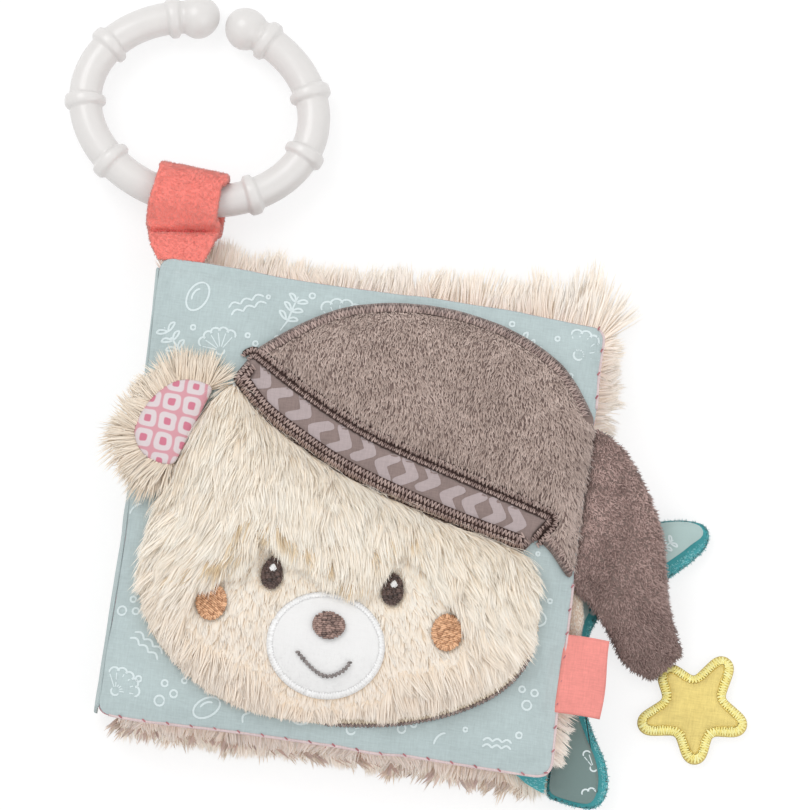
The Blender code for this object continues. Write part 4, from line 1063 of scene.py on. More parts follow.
FACE = soften(outline("face_plush"), 0.0016, 3)
FACE_CENTRE = np.array([-0.0019, -0.0222])
EYES = [oval_of("eye_left"), oval_of("eye_right")]
CHEEKS = [oval_of("cheek_left"), oval_of("cheek_right")]
MUZZLE = oval_of("muzzle")
# Round each eye and cheek: its oval's share to the side and below, then the peak's height and lean
BARE = (
    (1.55, 1.30, 0.0130, -0.0036),
    (1.40, 1.22, 0.0085, 0.0010),
    (1.30, 1.15, 0.0085, 0.0022),
    (1.20, 1.10, 0.0080, 0.0004),
)
MASK = 0.001 * np.array([
    (-42.4, -29.2), (-38.3, -28.0), (-34.7, -22.8), (-29.6, -22.1), (-26.4, -16.3), (-24.8, -9.1),
    (-21.1, -12.6), (-15.0, -15.2), (-8.7, -18.7), (-3.0, -22.3), (3.1, -24.0), (8.4, -20.9),
    (11.5, -16.7), (12.5, -11.2), (15.9, -9.0), (20.3, -11.3), (24.8, -14.7), (30.4, -20.9),
    (36.6, -24.1), (38.3, -31.5), (35.5, -38.4), (27.3, -41.3), (19.8, -43.6), (15.8, -51.8),
    (2.0, -56.1), (-12.5, -55.9), (-18.8, -48.6), (-25.4, -46.7), (-36.2, -42.4), (-42.3, -38.0),
])
FACE_RIM = 0.0016
FACE_PUFF = 0.0052


def dent(points, centre, wide, high, depth):
    return depth * np.exp(-oval_share(points, centre, wide, high))


def face_surface(points):
    """The padded face without its fur, drawn in at the eyes, the cheeks and the muzzle."""
    inward = share(points, FACE, FACE_CENTRE)
    full = FACE_RIM + FACE_PUFF * (1 - np.clip(inward, 0, 1) ** 3)
    full = full * eased(distance(points, FACE), 0.0035)
    for centre, wide, high in EYES:
        full = full - dent(points, centre, wide * 2.1, high * 1.5, 0.0027)
    for centre, wide, high in CHEEKS:
        full = full - dent(points, centre, wide * 1.7, high * 1.4, 0.0014)
    centre, wide, high = MUZZLE
    full = full - dent(points, centre, wide * 1.05, high * 1.05, 0.0012)
    full = full - 0.0009 * eased(distance(points, MASK) * inside(points, MASK), 0.003)
    return cover_surface(points) + 0.0004 + np.maximum(full, 0.0004)


def fur_flow(points):
    """The way the fur lies: down from the cap, fanning out, and brushed aside over the left cheek."""
    x, y = points[:, 0], points[:, 1]
    u = (x - FACE_CENTRE[0]) / 0.058
    angle = 0.145 + 0.38 * u * np.abs(u) ** 0.3
    angle -= dent(points, (-0.040, -0.017), 0.014, 0.012, 0.50)
    angle += dent(points, (0.036, -0.025), 0.020, 0.018, 0.28)
    angle += 0.15 * ripple(x, y, 0.013, 41) + 0.12 * ripple(x, y, 0.006, 42)
    return np.c_[np.sin(angle), -np.cos(angle), np.zeros(len(points))]


def drop_shape(points, centre, below, peak, lean):
    """Whether points are in a drop: round below its centre, drawn up to a leaning peak."""
    wide, high = below
    dx, dy = points[:, 0] - centre[0], points[:, 1] - centre[1]
    up = np.clip(dy / peak, 0, 1)
    low = -high * np.sqrt(np.clip(1 - (dx / wide) ** 2, 0, 1))
    return (dy < peak) & (np.abs(dx - lean * up) < wide * (1 - up) ** 0.8) & (dy > low)


def bare_places(points, ease=1.0):
    """Where the face has no long fur: drawn-in places round the eyes and cheeks."""
    found = np.zeros(len(points), bool)
    for (centre, wide, high), (side, low, peak, lean) in zip(EYES + CHEEKS, BARE):
        found |= drop_shape(points, centre, (wide * side * ease, high * low * ease), peak * ease, lean)
    return found


def clear_length(roots, flow, length, short):
    """How long strands may be before they cover a bare place or pass the face's edge."""
    allowed = length.copy()
    x, y = roots[:, 0], roots[:, 1]
    low_right = (y < -0.030) & (x > 0.004)
    over = np.where(low_right, -0.0010, np.where(y < -0.045, 0.0006, 0.0002))
    edges = [(np.isclose(over, by), grown(FACE, by)) for by in (-0.0010, 0.0006, 0.0002)]
    open_face = grown(MASK, -0.0012)
    for t in np.linspace(0, 1, 11):
        spot = roots[:, :2] + flow[:, :2] * (length * t * 0.92)[:, None]
        if short:
            hit = bare_places(spot, 0.80) | (oval_share(spot, *MUZZLE) < 0.98)
        else:
            hit = inside(spot, open_face)
        for chosen, edge in edges:
            outside = chosen & ~hit
            hit[outside] = ~inside(spot[outside], edge)
        allowed = np.where(hit, np.minimum(allowed, length * max(0, t - 0.06)), allowed)
    return allowed


# Each layer's name, spacing, length, width, rise in radians, seed, share of locks and gathering
FACE_FUR = (
    ("face_fur_low", 0.00062, 0.0050, 0.00034, 0.50, 52, 0.05, 0.4),
    ("face_fur_middle", 0.00048, 0.0080, 0.00035, 0.31, 53, 0.035, 0.38),
    ("face_fur_long", 0.00054, 0.0105, 0.00032, 0.38, 54, 0.022, 0.50),
    ("face_fur_short", 0.00044, 0.0030, 0.00036, 0.25, 57, 0.05, 0.30),
    ("face_fur_shade", 0.00070, 0.0085, 0.00030, 0.46, 58, 0.05, 0.5),
)


def make_face():
    flat = fill(FACE, 0.0016)
    pad = slab("face_backing", flat, cover_surface(flat[0]) + 0.0002, face_surface(flat[0]), SKIN,
               "front_cover", 0.0002)
    sewn(pad, 0.7, "face_plush")
    source = rng(51)
    for name, spacing, length, width, lift, seed, locks, gather in FACE_FUR:
        short, shade = name == "face_fur_short", name == "face_fur_shade"
        roots, normals = surface_points(pad, spacing, seed, lambda p, m: m[:, 2] > 0.25)
        flow = fur_flow(roots)
        open_face = inside(roots[:, :2], MASK)
        near = distance(roots[:, :2], MASK)
        if short:
            beside_muzzle = oval_share(roots, *MUZZLE) > 1
            keep = (open_face | (near < 0.002)) & ~bare_places(roots, 0.92) & beside_muzzle
        elif shade:
            # Darker strands along the brow's edge, thicker on the left: painted shade under the overhanging
            # fur.
            above = (roots[:, 1] > -0.026) & (roots[:, 0] < 0.020)
            keep = ~open_face & above & (near > 0.0005) & (near < 0.007)
            keep &= source.random(len(near)) < np.where(roots[:, 0] < -0.018, 0.9, 0.45)
        else:
            keep = ~open_face
        roots, normals, flow = roots[keep], normals[keep], flow[keep]
        brow = bell(near[keep], 0.0060) * (roots[:, 1] > -0.030)
        lifts = lift * (1 + (0 if short else 0.7) * brow)
        lower = ramped(-0.040 - roots[:, 1], 0.008)
        long = length * source.uniform(0.85, 1.15, len(roots)) * (1 - 0.30 * lower)
        long = clear_length(roots, flow, long, short)
        keep = long > 0.0010
        strands(name, roots[keep], normals[keep], flow[keep], long[keep], width,
                SHADE_HAIR if shade else CREAM_HAIR, "cream_plush", "front_cover", seed,
                lift=lifts[keep], droop=1.35, clump=0.0032, gather=gather, locks=locks, even=0.13,
                fan=0.13, tangle=0.05)
    pile("face_shorn_pile", pad, 0.00036, 0.0010, 0.00034, SHORN_HAIR, "front_cover",
         55, lean=(0.1, -1.0, 0), rise=0.35, spread=0.15,
         keep=lambda p, m: bare_places(p, 1.15) & (m[:, 2] > 0.25))
    over_pad = heights(pad)

    def ground(points):
        return np.maximum(over_pad(points), cover_surface(points) + 0.0003)

    left = (FACE[:, 0] < -0.030) & (FACE[:, 1] > -0.030)
    low_right = (FACE[:, 0] > 0.0) & (FACE[:, 1] < -0.030)
    for side, chosen, by, width, pitch, thread, slot, seed, slant, thick in (
        ("left", left, -0.0007, 0.0022, 0.00050, WHITE_THREAD, "cream_plush", 56, 0.5, 1.0),
        ("right", ~left, -0.0007, 0.0022, 0.00050, TAN_THREAD, "cream_plush", 56, 0.5, 1.0),
        ("outer", low_right, 0.0003, 0.0009, 0.00055, EDGE_THREAD, "brown_thread", 59, 0.8, 1.25),
    ):
        for k, path in enumerate(stretches(grown(FACE, by), chosen)):
            satin(f"face_edge_{side}_{k + 1}", path, width, pitch, ground, thread, slot, "front_cover",
                  seed, closed=False, slant=slant, thick=thick)


STITCHED = (
    ("eye_left", EYES[0], -0.12, 0.25, 0.0005, 0.0014, 0.0010, BROWN_THREAD, "brown_thread", 65),
    ("eye_right", EYES[1], -0.12, 0.25, 0.0005, 0.0014, 0.0010, BROWN_THREAD, "brown_thread", 65),
    ("cheek_left", CHEEKS[0], 0.0, -0.55, 0.00052, 0.0018, 0.0008, COPPER_THREAD, "copper_thread", 67),
    ("cheek_right", CHEEKS[1], 0.0, 0.45, 0.00052, 0.0018, 0.0008, COPPER_THREAD, "copper_thread", 67),
)


def make_features():
    """The muzzle and the embroidery on the face."""
    centre, wide, high = MUZZLE
    loop = oval(centre, wide, high, 72)
    flat = fill(loop, 0.0013)
    inward = share(flat[0], loop, centre)
    base = face_surface(flat[0])
    top = base + 0.0006 + 0.0027 * (1 - np.clip(inward, 0, 1) ** 2.4)
    muzzle = slab("muzzle_fleece", flat, base + 0.0001, top, FLEECE,
                  "front_cover", 0.0003)
    sewn(muzzle, 0.6, "muzzle")
    ground = heights(muzzle)
    inner = oval(centre, wide * 0.93, high * 0.93, 72)
    pile("muzzle_pile", muzzle, 0.00034, 0.00032, 0.00038, WHITE_PILE, "front_cover",
         61, keep=lambda p, m: inside(p[:, :2], inner) & (m[:, 2] > 0.3), spread=0.12, rise=0.3)
    border = oval(centre, wide * 0.955, high * 0.955, 90)
    satin("muzzle_border", border, 0.0015, 0.00040, lambda p: ground(p, 0.026), WHITE_THREAD,
          "white_fleece", "front_cover", 62, arch=0.00025, slant=0.15,
          drop=lambda p: face_surface(p) + 0.0007)

    centre, wide, high = oval_of("nose")
    nose = oval(centre, wide, high, 40, 0.05)
    made = embroidered("nose_stitches", nose, 0.1, 0.00056, 0.0014,
                       lambda p: ground(p) + 0.0008 + 0.0006 * (1 - share(p, nose, centre) ** 2),
                       NOSE_THREAD, "front_cover", 63)
    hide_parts("nose")
    smile = outline("mouth")
    xs = np.linspace(smile[:, 0].min() + 0.0003, smile[:, 0].max() - 0.0003, 25)
    middle = midline(smile, xs)
    made = satin("mouth_stitches", middle, 0.0010, 0.00055, lambda p: ground(p) + 0.0006, MOUTH_THREAD,
                 "brown_thread", "front_cover", 64, arch=0.0003, slant=0.8, closed=False)
    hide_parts("mouth")
    for name, place, tip, angle, pitch, long, crown, thread, slot, seed in STITCHED:
        centre, wide, high = place
        loop = oval(*place, 40, tip)
        made = embroidered(f"{name}_stitches", loop, angle, pitch, long, domed(loop, centre, crown),
                           thread, "front_cover", seed)
        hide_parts(name)
        if thread is BROWN_THREAD:
            spot = centre + np.array([wide * 0.05, high * 0.36])
            embroidered(f"{name}_glint", oval(spot, 0.0009, 0.0010, 16), -0.9, 0.00042, 0.002,
                        lambda p, d=domed(loop, centre, crown): d(p) + 0.00035, WHITE_THREAD,
                        "front_cover", 66)
        else:
            satin(f"{name}_edge", loop, 0.0013, 0.0006, domed(loop, centre, 0.0007), thread, slot,
                  "front_cover", 68, arch=0.0002, slant=0.2)


def domed(loop, centre, crown):
    """Heights of embroidery that stands a little proud of the face's backing."""

    def at(points):
        return face_surface(points) + 0.0009 + crown * (1 - np.clip(share(points, loop, centre), 0, 1) ** 2)

    return at


def midline(loop, xs):
    """The middle of a long narrow outline at some places along X."""
    closed = np.vstack([loop, loop[:1]])
    points = []
    for x in xs:
        crossing = []
        for a, b in zip(closed, closed[1:]):
            if (a[0] > x) != (b[0] > x):
                crossing.append(a[1] + (b[1] - a[1]) * (x - a[0]) / (b[0] - a[0]))
        if crossing:
            points.append((x, (min(crossing) + max(crossing)) / 2))
    return np.array(points)


def offset(path, by):
    """An open path moved to its right-hand side."""
    return path + path_ways(path)[1] * by


def stretches(loop, chosen):
    """The unbroken stretches of an outline where a choice holds, without the shortest ones."""
    if chosen.all():
        return [loop]
    first = int(np.argmin(chosen))
    loop, chosen = np.roll(loop, -first, 0), np.roll(chosen, -first)
    found = [[]]
    for point, wanted in zip(loop, chosen):
        if wanted:
            found[-1].append(point)
        elif found[-1]:
            found.append([])
    return [np.array(path) for path in found if len(path) > 5]


CROWN = soften(outline("cap_crown"), 0.0012, 1)
BAND = soften(outline("cap_band"), 0.0010, 1)


def crown_surface(points):
    inward = 1 - np.clip(distance(points, CROWN) / 0.013, 0, 1)
    full = 0.0013 + 0.0034 * (1 - inward**2.2)
    full = full + 0.0005 * ripple(points[:, 0], points[:, 1], 0.017, 81) * (1 - inward)
    return cover_surface(points) + 0.0004 + full * (0.4 + 0.6 * eased(distance(points, CROWN), 0.002))


def make_cap():
    flat = fill(CROWN, 0.0016)
    crown = slab("cap_crown_backing", flat, cover_surface(flat[0]) + 0.0002, crown_surface(flat[0]),
                 TAUPE_CLOTH, "front_cover", 0.0003)
    sewn(crown, 0.6, "cap_crown")
    near_band = distance(CROWN, BAND) < 0.0016
    arcs = stretches(CROWN, ~near_band & (CROWN[:, 0] < 0.0636))

    def clear(p, m):
        free = (m[:, 2] > -0.1) & (distance(p, BAND) > 0.0026)
        for path in arcs:
            free &= distance(p, path, closed=False) > 0.0025
        return free

    pile("cap_crown_pile", crown, 0.00046, 0.0022, 0.00060, TAUPE_PILE, "front_cover",
         82, lean=(0.12, -0.9, 0), spread=0.22, keep=clear)
    crown_ground = heights(crown)

    def on_crown(p):
        return np.maximum(crown_ground(p), cover_surface(p)) + 0.0005

    for k, path in enumerate(arcs):
        turn = hand(np.vstack([path, CROWN.mean(0)]))
        for row, (by, width, thread) in enumerate(((-0.0003, 0.0011, EDGE_THREAD),
                                                   (-0.0017, 0.0024, BORDER_THREAD))):
            felt_border(f"cap_border_{k + 1}_{row + 1}", offset(path, by * turn), width, 0.00052, on_crown,
                        (TAUPE_CLOTH, "taupe_plush", 0.0), thread, 83 + row, slant=0.2, thick=0.95)

    flat = fill(BAND, 0.0013)
    base = cover_surface(flat[0])
    edge = eased(distance(flat[0], BAND), 0.002)
    band = slab("cap_band_cloth", flat, base + 0.0002, base + 0.0009 + 0.0022 * edge, BAND_CLOTH,
                "front_cover", 0.0003)
    sewn(band, 0.4, "cap_band")
    ground = heights(band)

    def on_both(p):
        return np.maximum(np.maximum(ground(p), crown_ground(p)), cover_surface(p)) + 0.0005

    upper = distance(BAND, CROWN) < 0.0030
    way = hand(BAND)
    for side, chosen, rows in (
        ("upper", upper, ((0.0001, 0.0015, 0.2), (0.0020, 0.0015, 0.3))),
        ("lower", ~upper, ((-0.0008, 0.0016, 0.2), (-0.0028, 0.0018, 0.3))),
    ):
        for k, path in enumerate(stretches(BAND, chosen)):
            for row, (by, width, slant) in enumerate(rows):
                felt_border(f"band_{side}_{k + 1}_{row + 1}", offset(path, by * way), width, 0.00056,
                            on_both, (DARK_FELT, "brown_thread", 0.0002), BORDER_THREAD, 86 + row,
                            arch=0.0005, slant=slant, thick=0.86)
    make_chevrons(ground)


CHEVRONS = (
    (-30.9, 34.8, 1), (-26.0, 30.3, -1), (-18.3, 27.6, 1), (-12.9, 22.2, -1),
    (-5.7, 20.3, 1), (1.4, 19.0, 1), (7.5, 15.2, -1), (14.3, 13.9, 1),
    (20.8, 13.1, 1), (27.2, 8.7, -1), (33.7, 7.6, -1), (40.6, 6.0, 1),
    (46.6, 4.5, 1),
)
CHEVRON_HALF = 0.001 * np.array([(-2.6, 4.7), (-0.7, 4.6), (1.0, 3.0), (2.8, 1.2), (3.4, 0.2)])
CHEVRON_NOTCH = 0.001 * np.array([(-3.6, 3.7), (-3.0, 2.6), (-1.6, 1.2), (-0.6, 0.0)])


def make_chevrons(ground):
    """The band's printed chevrons, some of them turned the other way."""
    line = midline(BAND, np.linspace(BAND[:, 0].min() + 0.0030, BAND[:, 0].max() - 0.0052, 120))
    half, notch = CHEVRON_HALF, CHEVRON_NOTCH
    shape = np.vstack([half, half[::-1] * (1, -1), notch[:3] * (1, -1), notch[::-1]])
    points, faces = np.zeros((0, 2)), []
    for x, y, turned_to in CHEVRONS:
        spot = np.array([x, y]) * 0.001
        near = np.interp([spot[0] - 0.004, spot[0] + 0.004], line[:, 0], line[:, 1])
        way = unit(np.array([0.008, near[1] - near[0]])) * turned_to
        side = np.array([-way[1], way[0]])
        flat = fill(soften(spot + shape[:, :1] * way * 0.96 + shape[:, 1:] * side * 0.92, 0.0004, 0), 0.0008)
        faces += (flat[1] + len(points)).tolist()
        points = np.vstack([points, flat[0]])
    top = np.maximum(ground(points), cover_surface(points) + 0.0010)
    piece("band_chevrons", np.c_[points, top + 0.00008], faces, LILAC_PRINT, "front_cover")


# Ear


# Each layer's height over the ear's underside, its rise in radians, its length and its seed
EAR_FRINGE = (
    (0.0003, 0.02, 0.0105, 93), (0.0007, 0.12, 0.0115, 94),
    (0.0011, 0.25, 0.0110, 95), (0.0015, 0.42, 0.0095, 99),
)


def make_ear():
    loop = soften(outline("ear_print_front"), 0.0010, 1)
    flat = fill(loop, 0.0011)
    inward = share(flat[0], loop, loop.mean(0))
    low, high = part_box("ear_plush_back")
    base = high.z + 0.0002
    wrinkle = 0.0003 * ripple(*flat[0].T, 0.005, 91)
    top = base + 0.0009 + 0.0016 * (1 - np.clip(inward, 0, 1) ** 2.5) + wrinkle
    sewn(slab("ear_front_cloth", flat, base, top, EAR_CLOTH, "ear", 0.0004), 0.5,
         "ear_print_front")
    loop = soften(outline("ear_plush_back"), 0.0012, 1)
    back = slab("ear_back_backing", fill(loop, 0.0016), low.z, high.z, SKIN, "ear", 0.0003)
    sewn(back, 0.5, "ear_plush_back")

    fold = frame_joint("ear_fold")
    away = np.array([-fold["axis"][1], fold["axis"][0]])
    source = rng(92)
    run = soften(loop, 0.00009, 1)
    out = outward(run)
    free = ((run - np.array(fold["pos_m"][:2])) @ away) > 0.0012
    run, out = run[free], out[free]
    for layer, (z, lift, reach, seed) in enumerate(EAR_FRINGE):
        reach = reach * (1 + 0.36 * ripple(*run.T, 0.005, 100))
        sway = 0.45 * ripple(*run.T, 0.006, 96 + layer)
        fringe(f"ear_fringe_{layer + 1}", run, out, low.z + z, (0.0002, 0.0018), 0.0002, reach, sway,
               "ear", seed, source, down=(-0.05, -0.12), width=0.00036, material=EAR_HAIR, lift=lift,
               droop=1.3, clump=0.005, gather=0.55, fan=0.24, tangle=0.08, locks=0.014, even=0.2)
    under, normals = surface_points(back, 0.0009, 97, lambda p, m: m[:, 2] < -0.5)
    flow = np.c_[np.broadcast_to(away, (len(under), 2)), np.zeros(len(under))]
    strands("ear_back_fur", under, normals, flow, 0.006, 0.0006, CREAM_HAIR, "cream_plush", "ear", 98,
            lift=0.14, droop=1.7, clump=0.003, parts=3)


def frame_joint(name):
    return next(j for j in frame["joints"] if j["name"] == name)


# The cap's tail, the star and the label


def remeshed(name, nodes, voxel, passes):
    """One closed mesh round some CAD nodes, with its steps smoothed away."""
    points, faces = [], []
    for node in nodes:
        mesh = frame["nodes"][node].data
        start = len(points)
        points += [tuple(v.co) for v in mesh.vertices]
        faces += [[start + i for i in p.vertices] for p in mesh.polygons]
    mesh = bpy.data.meshes.new(name)
    mesh.from_pydata(points, [], faces)
    made = placed(name, mesh)
    for kind, settings in (
        ("WELD", {"merge_threshold": 0.00001}),
        ("REMESH", {"mode": "VOXEL", "voxel_size": voxel}),
        ("SMOOTH", {"factor": 0.5, "iterations": passes}),
    ):
        modifier = made.modifiers.new(kind.lower(), kind)
        for key, value in settings.items():
            setattr(modifier, key, value)
    bpy.context.view_layer.update()
    done = bpy.data.meshes.new_from_object(made.evaluated_get(bpy.context.evaluated_depsgraph_get()))
    bpy.data.objects.remove(made)
    return read(done.vertices, "co"), [tuple(p.vertices) for p in done.polygons]


TAIL_NODES = ("cap_tail_front", "cap_tail_back", "cap_tail_stuffing")


def make_tail():
    points, faces = remeshed("tail_form", TAIL_NODES, 0.0007, 10)
    x, y, z = points.T
    z += 0.0006 * ripple(x, y * 0.5, 0.009, 101) * ramped(x - 0.069, 0.008)
    for tip, reach, push in (((0.0945, -0.0270), 0.0065, (0.0020, -0.0016)),
                             ((0.0855, -0.0260), 0.0060, (-0.0016, -0.0008))):
        away = np.linalg.norm(points[:, :2] - np.array(tip), axis=1)
        points[:, :2] += bell(away, reach)[:, None] * np.array(push)
    x -= np.maximum(0.0705 - x, 0) * 0.30
    tail = sewn(piece("cap_tail_backing", points, faces, TAUPE_CLOTH), 0.6, *TAIL_NODES)
    hair = pile("cap_tail_pile", tail, 0.00044, 0.0016, 0.00060, TAIL_PILE, None, 102,
                lean=(0.25, -0.55, 0), spread=0.4, keep=lambda p, m: m[:, 2] > -0.35)
    below = pile("cap_tail_short_pile", tail, 0.00050, 0.0006, 0.00050, TAIL_PILE, None,
                 104, lean=(0.25, -0.75, 0), rise=0.3, keep=lambda p, m: m[:, 2] <= -0.35)
    for made in (tail, hair, below):
        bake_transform(made)


STAR_TURNS = tuple(math.radians(a) for a in (134.2, 64.5, -12.4, -81.7, -154.6))
STAR_TIP = 0.0034
STAR_VALLEY = 0.0088


def star_outline():
    """The star's five round arms, which reach as far as its CAD outline does."""
    known = outline("star_front")
    centre = known.mean(0)
    away = known - centre
    reach, angle = np.linalg.norm(away, axis=1), np.arctan2(away[:, 1], away[:, 0])
    loop = []
    for turn in STAR_TURNS:
        near = np.abs((angle - turn + math.pi) % (2 * math.pi) - math.pi) < 0.35
        tip = reach[near].max()
        way = heading(turn)
        side = np.array([way[1], -way[0]])
        middle = centre + way * (tip - STAR_TIP)
        for a in np.linspace(-1.25, 1.25, 7):
            loop.append(middle + STAR_TIP * (way * math.cos(a) + side * math.sin(a)))
        loop.append(centre + STAR_VALLEY * heading(turn - math.radians(36)))
    return soften(np.array(loop), 0.0008, 4), centre


def make_star():
    loop, centre = star_outline()
    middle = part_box("star_front")[0].z - 0.00015
    flat = fill(loop, 0.0009)
    x, y = flat[0].T
    seam = distance(flat[0], loop)
    edge = eased(seam, 0.0045)
    wrinkle = 0.00045 * ripple(x - y * 0.8, y * 0.5, 0.0030, 111) * edge
    crease = 0.0005 * bell(x - centre[0], 0.0022) * edge
    rise = 0.0004 + 0.0012 * edge + 0.0018 * eased(seam - 0.0021, 0.005)
    cloths = [
        sewn(slab(f"{node}_cloth", flat, below, above, YELLOW_CLOTH, "star", 0.0004), 0.5,
             node)
        for node, below, above in (
            ("star_front", middle + 0.0001, middle + rise + wrinkle - crease),
            ("star_back", middle - np.minimum(rise * 0.8, 0.0013), middle - 0.0001),
        )
    ]
    ground = heights(cloths[0])
    satin("star_border", grown(loop, -0.0010), 0.0022, 0.00036,
          lambda p: np.maximum(ground(p, middle), middle + 0.0004) + 0.0003, YELLOW_THREAD,
          "yellow_cotton", "star", 112, arch=0.00025, slant=0.25, thick=1.5)
    # A run of dark gold stitches just inside the border: partly stitching, partly painted shade along the
    # satin's inner edge.
    path = soften(grown(soften(loop, 0.0012, 2), -0.0022), 0.0011, 0)
    starts, ends = path, path + (np.roll(path, -1, 0) - path) * 0.85
    threads("star_stitches", np.c_[starts, ground(starts, middle) + 0.0002],
            np.c_[ends, ground(ends, middle) + 0.0002], 0.00036, 0.0002, GOLD_THREAD,
            "star", 113)


def make_label():
    low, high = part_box("label_tab")
    xs = np.linspace(low.x - 0.0008, high.x, 15)
    ys = np.linspace(low.y, high.y, 25)
    u, v = np.meshgrid(xs, ys)
    along = (u - xs[0]) / (xs[-1] - xs[0])
    middle = (low.z + high.z) / 2
    z = middle + 0.0004 + 0.0011 * np.sin(math.pi * along) - 0.0013 * along**2
    z = z + 0.0003 * np.sin((v - low.y) / (high.y - low.y) * math.pi * 1.3 + along)
    u = u + 0.0004 * along * np.sin((v - low.y) / (high.y - low.y) * 5)
    top = np.stack([u, v, z], 2).reshape(-1, 3)
    points, faces = sheet(top - UP * 0.0009, top, len(ys), len(xs))
    made = piece("label_tape", points, faces, LABEL_CLOTH, "label")
    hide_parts("label_tab")


# Loop and ring


def make_loop():
    points, faces = remeshed("loop_form", ["hang_loop"], 0.0006, 6)
    x, y, z = points.T
    panel = ramped(z - 0.0140, 0.002) * ramped(y - 0.0740, 0.004) * ramped(0.0925 - y, 0.0020)
    x -= 0.0015 * panel * ramped(x + 0.0665, 0.016)
    x -= 0.0014 * ramped(-0.0600 - x, 0.008) * ramped(y - 0.0665, 0.004) * ramped(0.0930 - y, 0.01)
    above = ramped(z - 0.0110, 0.001)
    away = y - loop_crease(x)
    z += 0.0004 * ripple(x, y, 0.006, 121) * above
    z -= 0.0022 * bell(away, 0.0010) * above
    z += 0.0007 * bell(away + 0.005, 0.003) * above
    made = sewn(piece("hang_loop_backing", points, faces, CORAL_CLOTH), 0.4, "hang_loop")
    hair = pile("hang_loop_pile", made, 0.00036, 0.0007, 0.00042, CORAL_PILE, None, 122,
                lean=(0.1, -0.6, 0), spread=0.2)
    ground = heights(made)
    xs = np.arange(-0.0685, -0.0545, 0.0017)
    starts = np.c_[xs, loop_crease(xs)]
    ends = starts + (0.0012, 0.00018)
    dark = thread_material("coral_thread", (0.55, 0.05, 0.05), (0.80, 0.12, 0.11))
    stitches = threads("hang_loop_stitches", np.c_[starts, ground(starts) + 0.0005],
                       np.c_[ends, ground(ends) + 0.0005], 0.0005, 0.0001, dark, None, 123)
    for each in (made, hair, stitches):
        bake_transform(each)


def loop_crease(x):
    """How far up the stitched crease across the loop is."""
    return 0.0766 + (x + 0.0596) * 0.147


RING_SHIFT = 0.0042
RING_HALF_LENGTH = 0.03335
RING_HALF_WIDTH = 0.0270
RING_TURN = math.radians(-5.8)
ROD_RADIUS = 0.00475
RIB_RADIUS = 0.0060
RIB_HALF_WIDTH = 0.00145
RIB_COUNT = 9
RIB_STEP = math.radians(38.8)
BALL_RADIUS = 0.0062
BALL_TURN = math.radians(-77.7)
RING_SIDES = 40


def make_ring():
    """The open ring as its CAD node has it, with fine facets and softly rounded ribs."""
    cx, cy, cz = frame_joint("ring_swing")["pos_m"]
    long = np.array([math.cos(RING_TURN), math.sin(RING_TURN), 0])
    down = np.array([long[1], -long[0], 0])
    steep = (cz - BALL_RADIUS - 0.0002) / (2 * RING_HALF_WIDTH)
    below = RING_HALF_WIDTH * math.sqrt(1 - (RING_SHIFT / RING_HALF_LENGTH) ** 2)
    centre = np.array([cx, cy, cz]) - long * RING_SHIFT - down * below

    def place(t):
        t = np.asarray(t)[..., None]
        q = RING_HALF_WIDTH * np.sin(t)
        return centre + RING_HALF_LENGTH * np.cos(t) * long + q * down + (q - RING_HALF_WIDTH) * steep * UP

    first, last = BALL_TURN, math.pi - BALL_TURN
    fine = np.linspace(first - 0.3, last + 0.3, 6001)
    run = run_of(place(fine))
    start, end = np.interp([first, last], fine, run)
    ribs = np.interp([math.pi / 2 + (k - (RIB_COUNT - 1) / 2) * RIB_STEP for k in range(RIB_COUNT)],
                     fine, run)
    near_end = BALL_RADIUS * np.cos(np.linspace(0, math.pi / 2, 12))[::-1]
    stations = np.unique(np.r_[start - near_end, np.linspace(start, end, 420), end + near_end])
    turns = np.interp(stations, run, fine)
    middle, ahead = place(turns), place(turns + 0.001)
    way = unit(ahead - middle)
    up = unit(UP - steep * down)
    side = unit(np.cross(way, up))
    rise = np.cross(side, way)
    radius = np.full(len(stations), ROD_RADIUS)
    for rib in ribs:
        away = np.abs(stations - rib) / (RIB_HALF_WIDTH * 1.25)
        bump = np.clip(1 - away**4, 0, 1) ** 0.7
        radius = np.maximum(radius, ROD_RADIUS + (RIB_RADIUS - ROD_RADIUS) * bump)
    for edge in (start, end):
        away = np.abs(stations - edge)
        ball = np.sqrt(np.maximum(0, BALL_RADIUS**2 - away**2))
        beyond = stations < start if edge == start else stations > end
        radius = np.where(beyond, ball, np.maximum(radius, ball))
    radius = np.maximum(radius, 0.00002)
    points, faces = tube(np.stack([
        middle + radius[:, None] * (math.cos(a) * side + math.sin(a) * rise) for a in angles(RING_SIDES)
    ], 1), turned=True)
    made = piece("teether_ring_body", points, faces, plastic_material(), "teether_ring")
    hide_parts("ring")


# The fish and its fin


def make_fin():
    """The fin past the edge: printed cotton in front, plush behind that shows round its edge."""
    front = sewn(fin_layer("fin_front_cloth", "fin_print_front", FIN_TEAL, 0.0003), 0.5,
                 "fin_print_front", "fin_wadding")
    back = sewn(fin_layer("fin_back_backing", "fin_plush_back", TURQUOISE_CLOTH, 0.0006),
                0.5, "fin_plush_back")
    below = [(v.co.x, v.co.y, 0) for v in front.data.vertices]
    cover = nearest(below[: len(below) // 2])

    def open_plush(p, m):
        hidden = np.array([cover.find((q[0], q[1], 0))[2] < 0.0011 for q in p])
        return (m[:, 2] < 0.2) | ~hidden

    hair = pile("fin_pile", back, 0.00042, 0.0009, 0.00045, TURQUOISE_PILE, None,
                132, lean=(0.2, -0.2, 0), keep=open_plush)
    ground = heights(front)
    prints = strokes("fin_motifs", fin_motifs(), 0.00024, lambda p: ground(p, 0.008), WHITE_PRINT,
                     None)
    for made in (front, back, hair, prints):
        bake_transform(made)


# Where the fin starts past the cover's edge, how it slopes down to its tips, and where its lobes part
FIN_START = 0.0663
FIN_SLOPE = 0.16
FIN_PARTING = -0.028


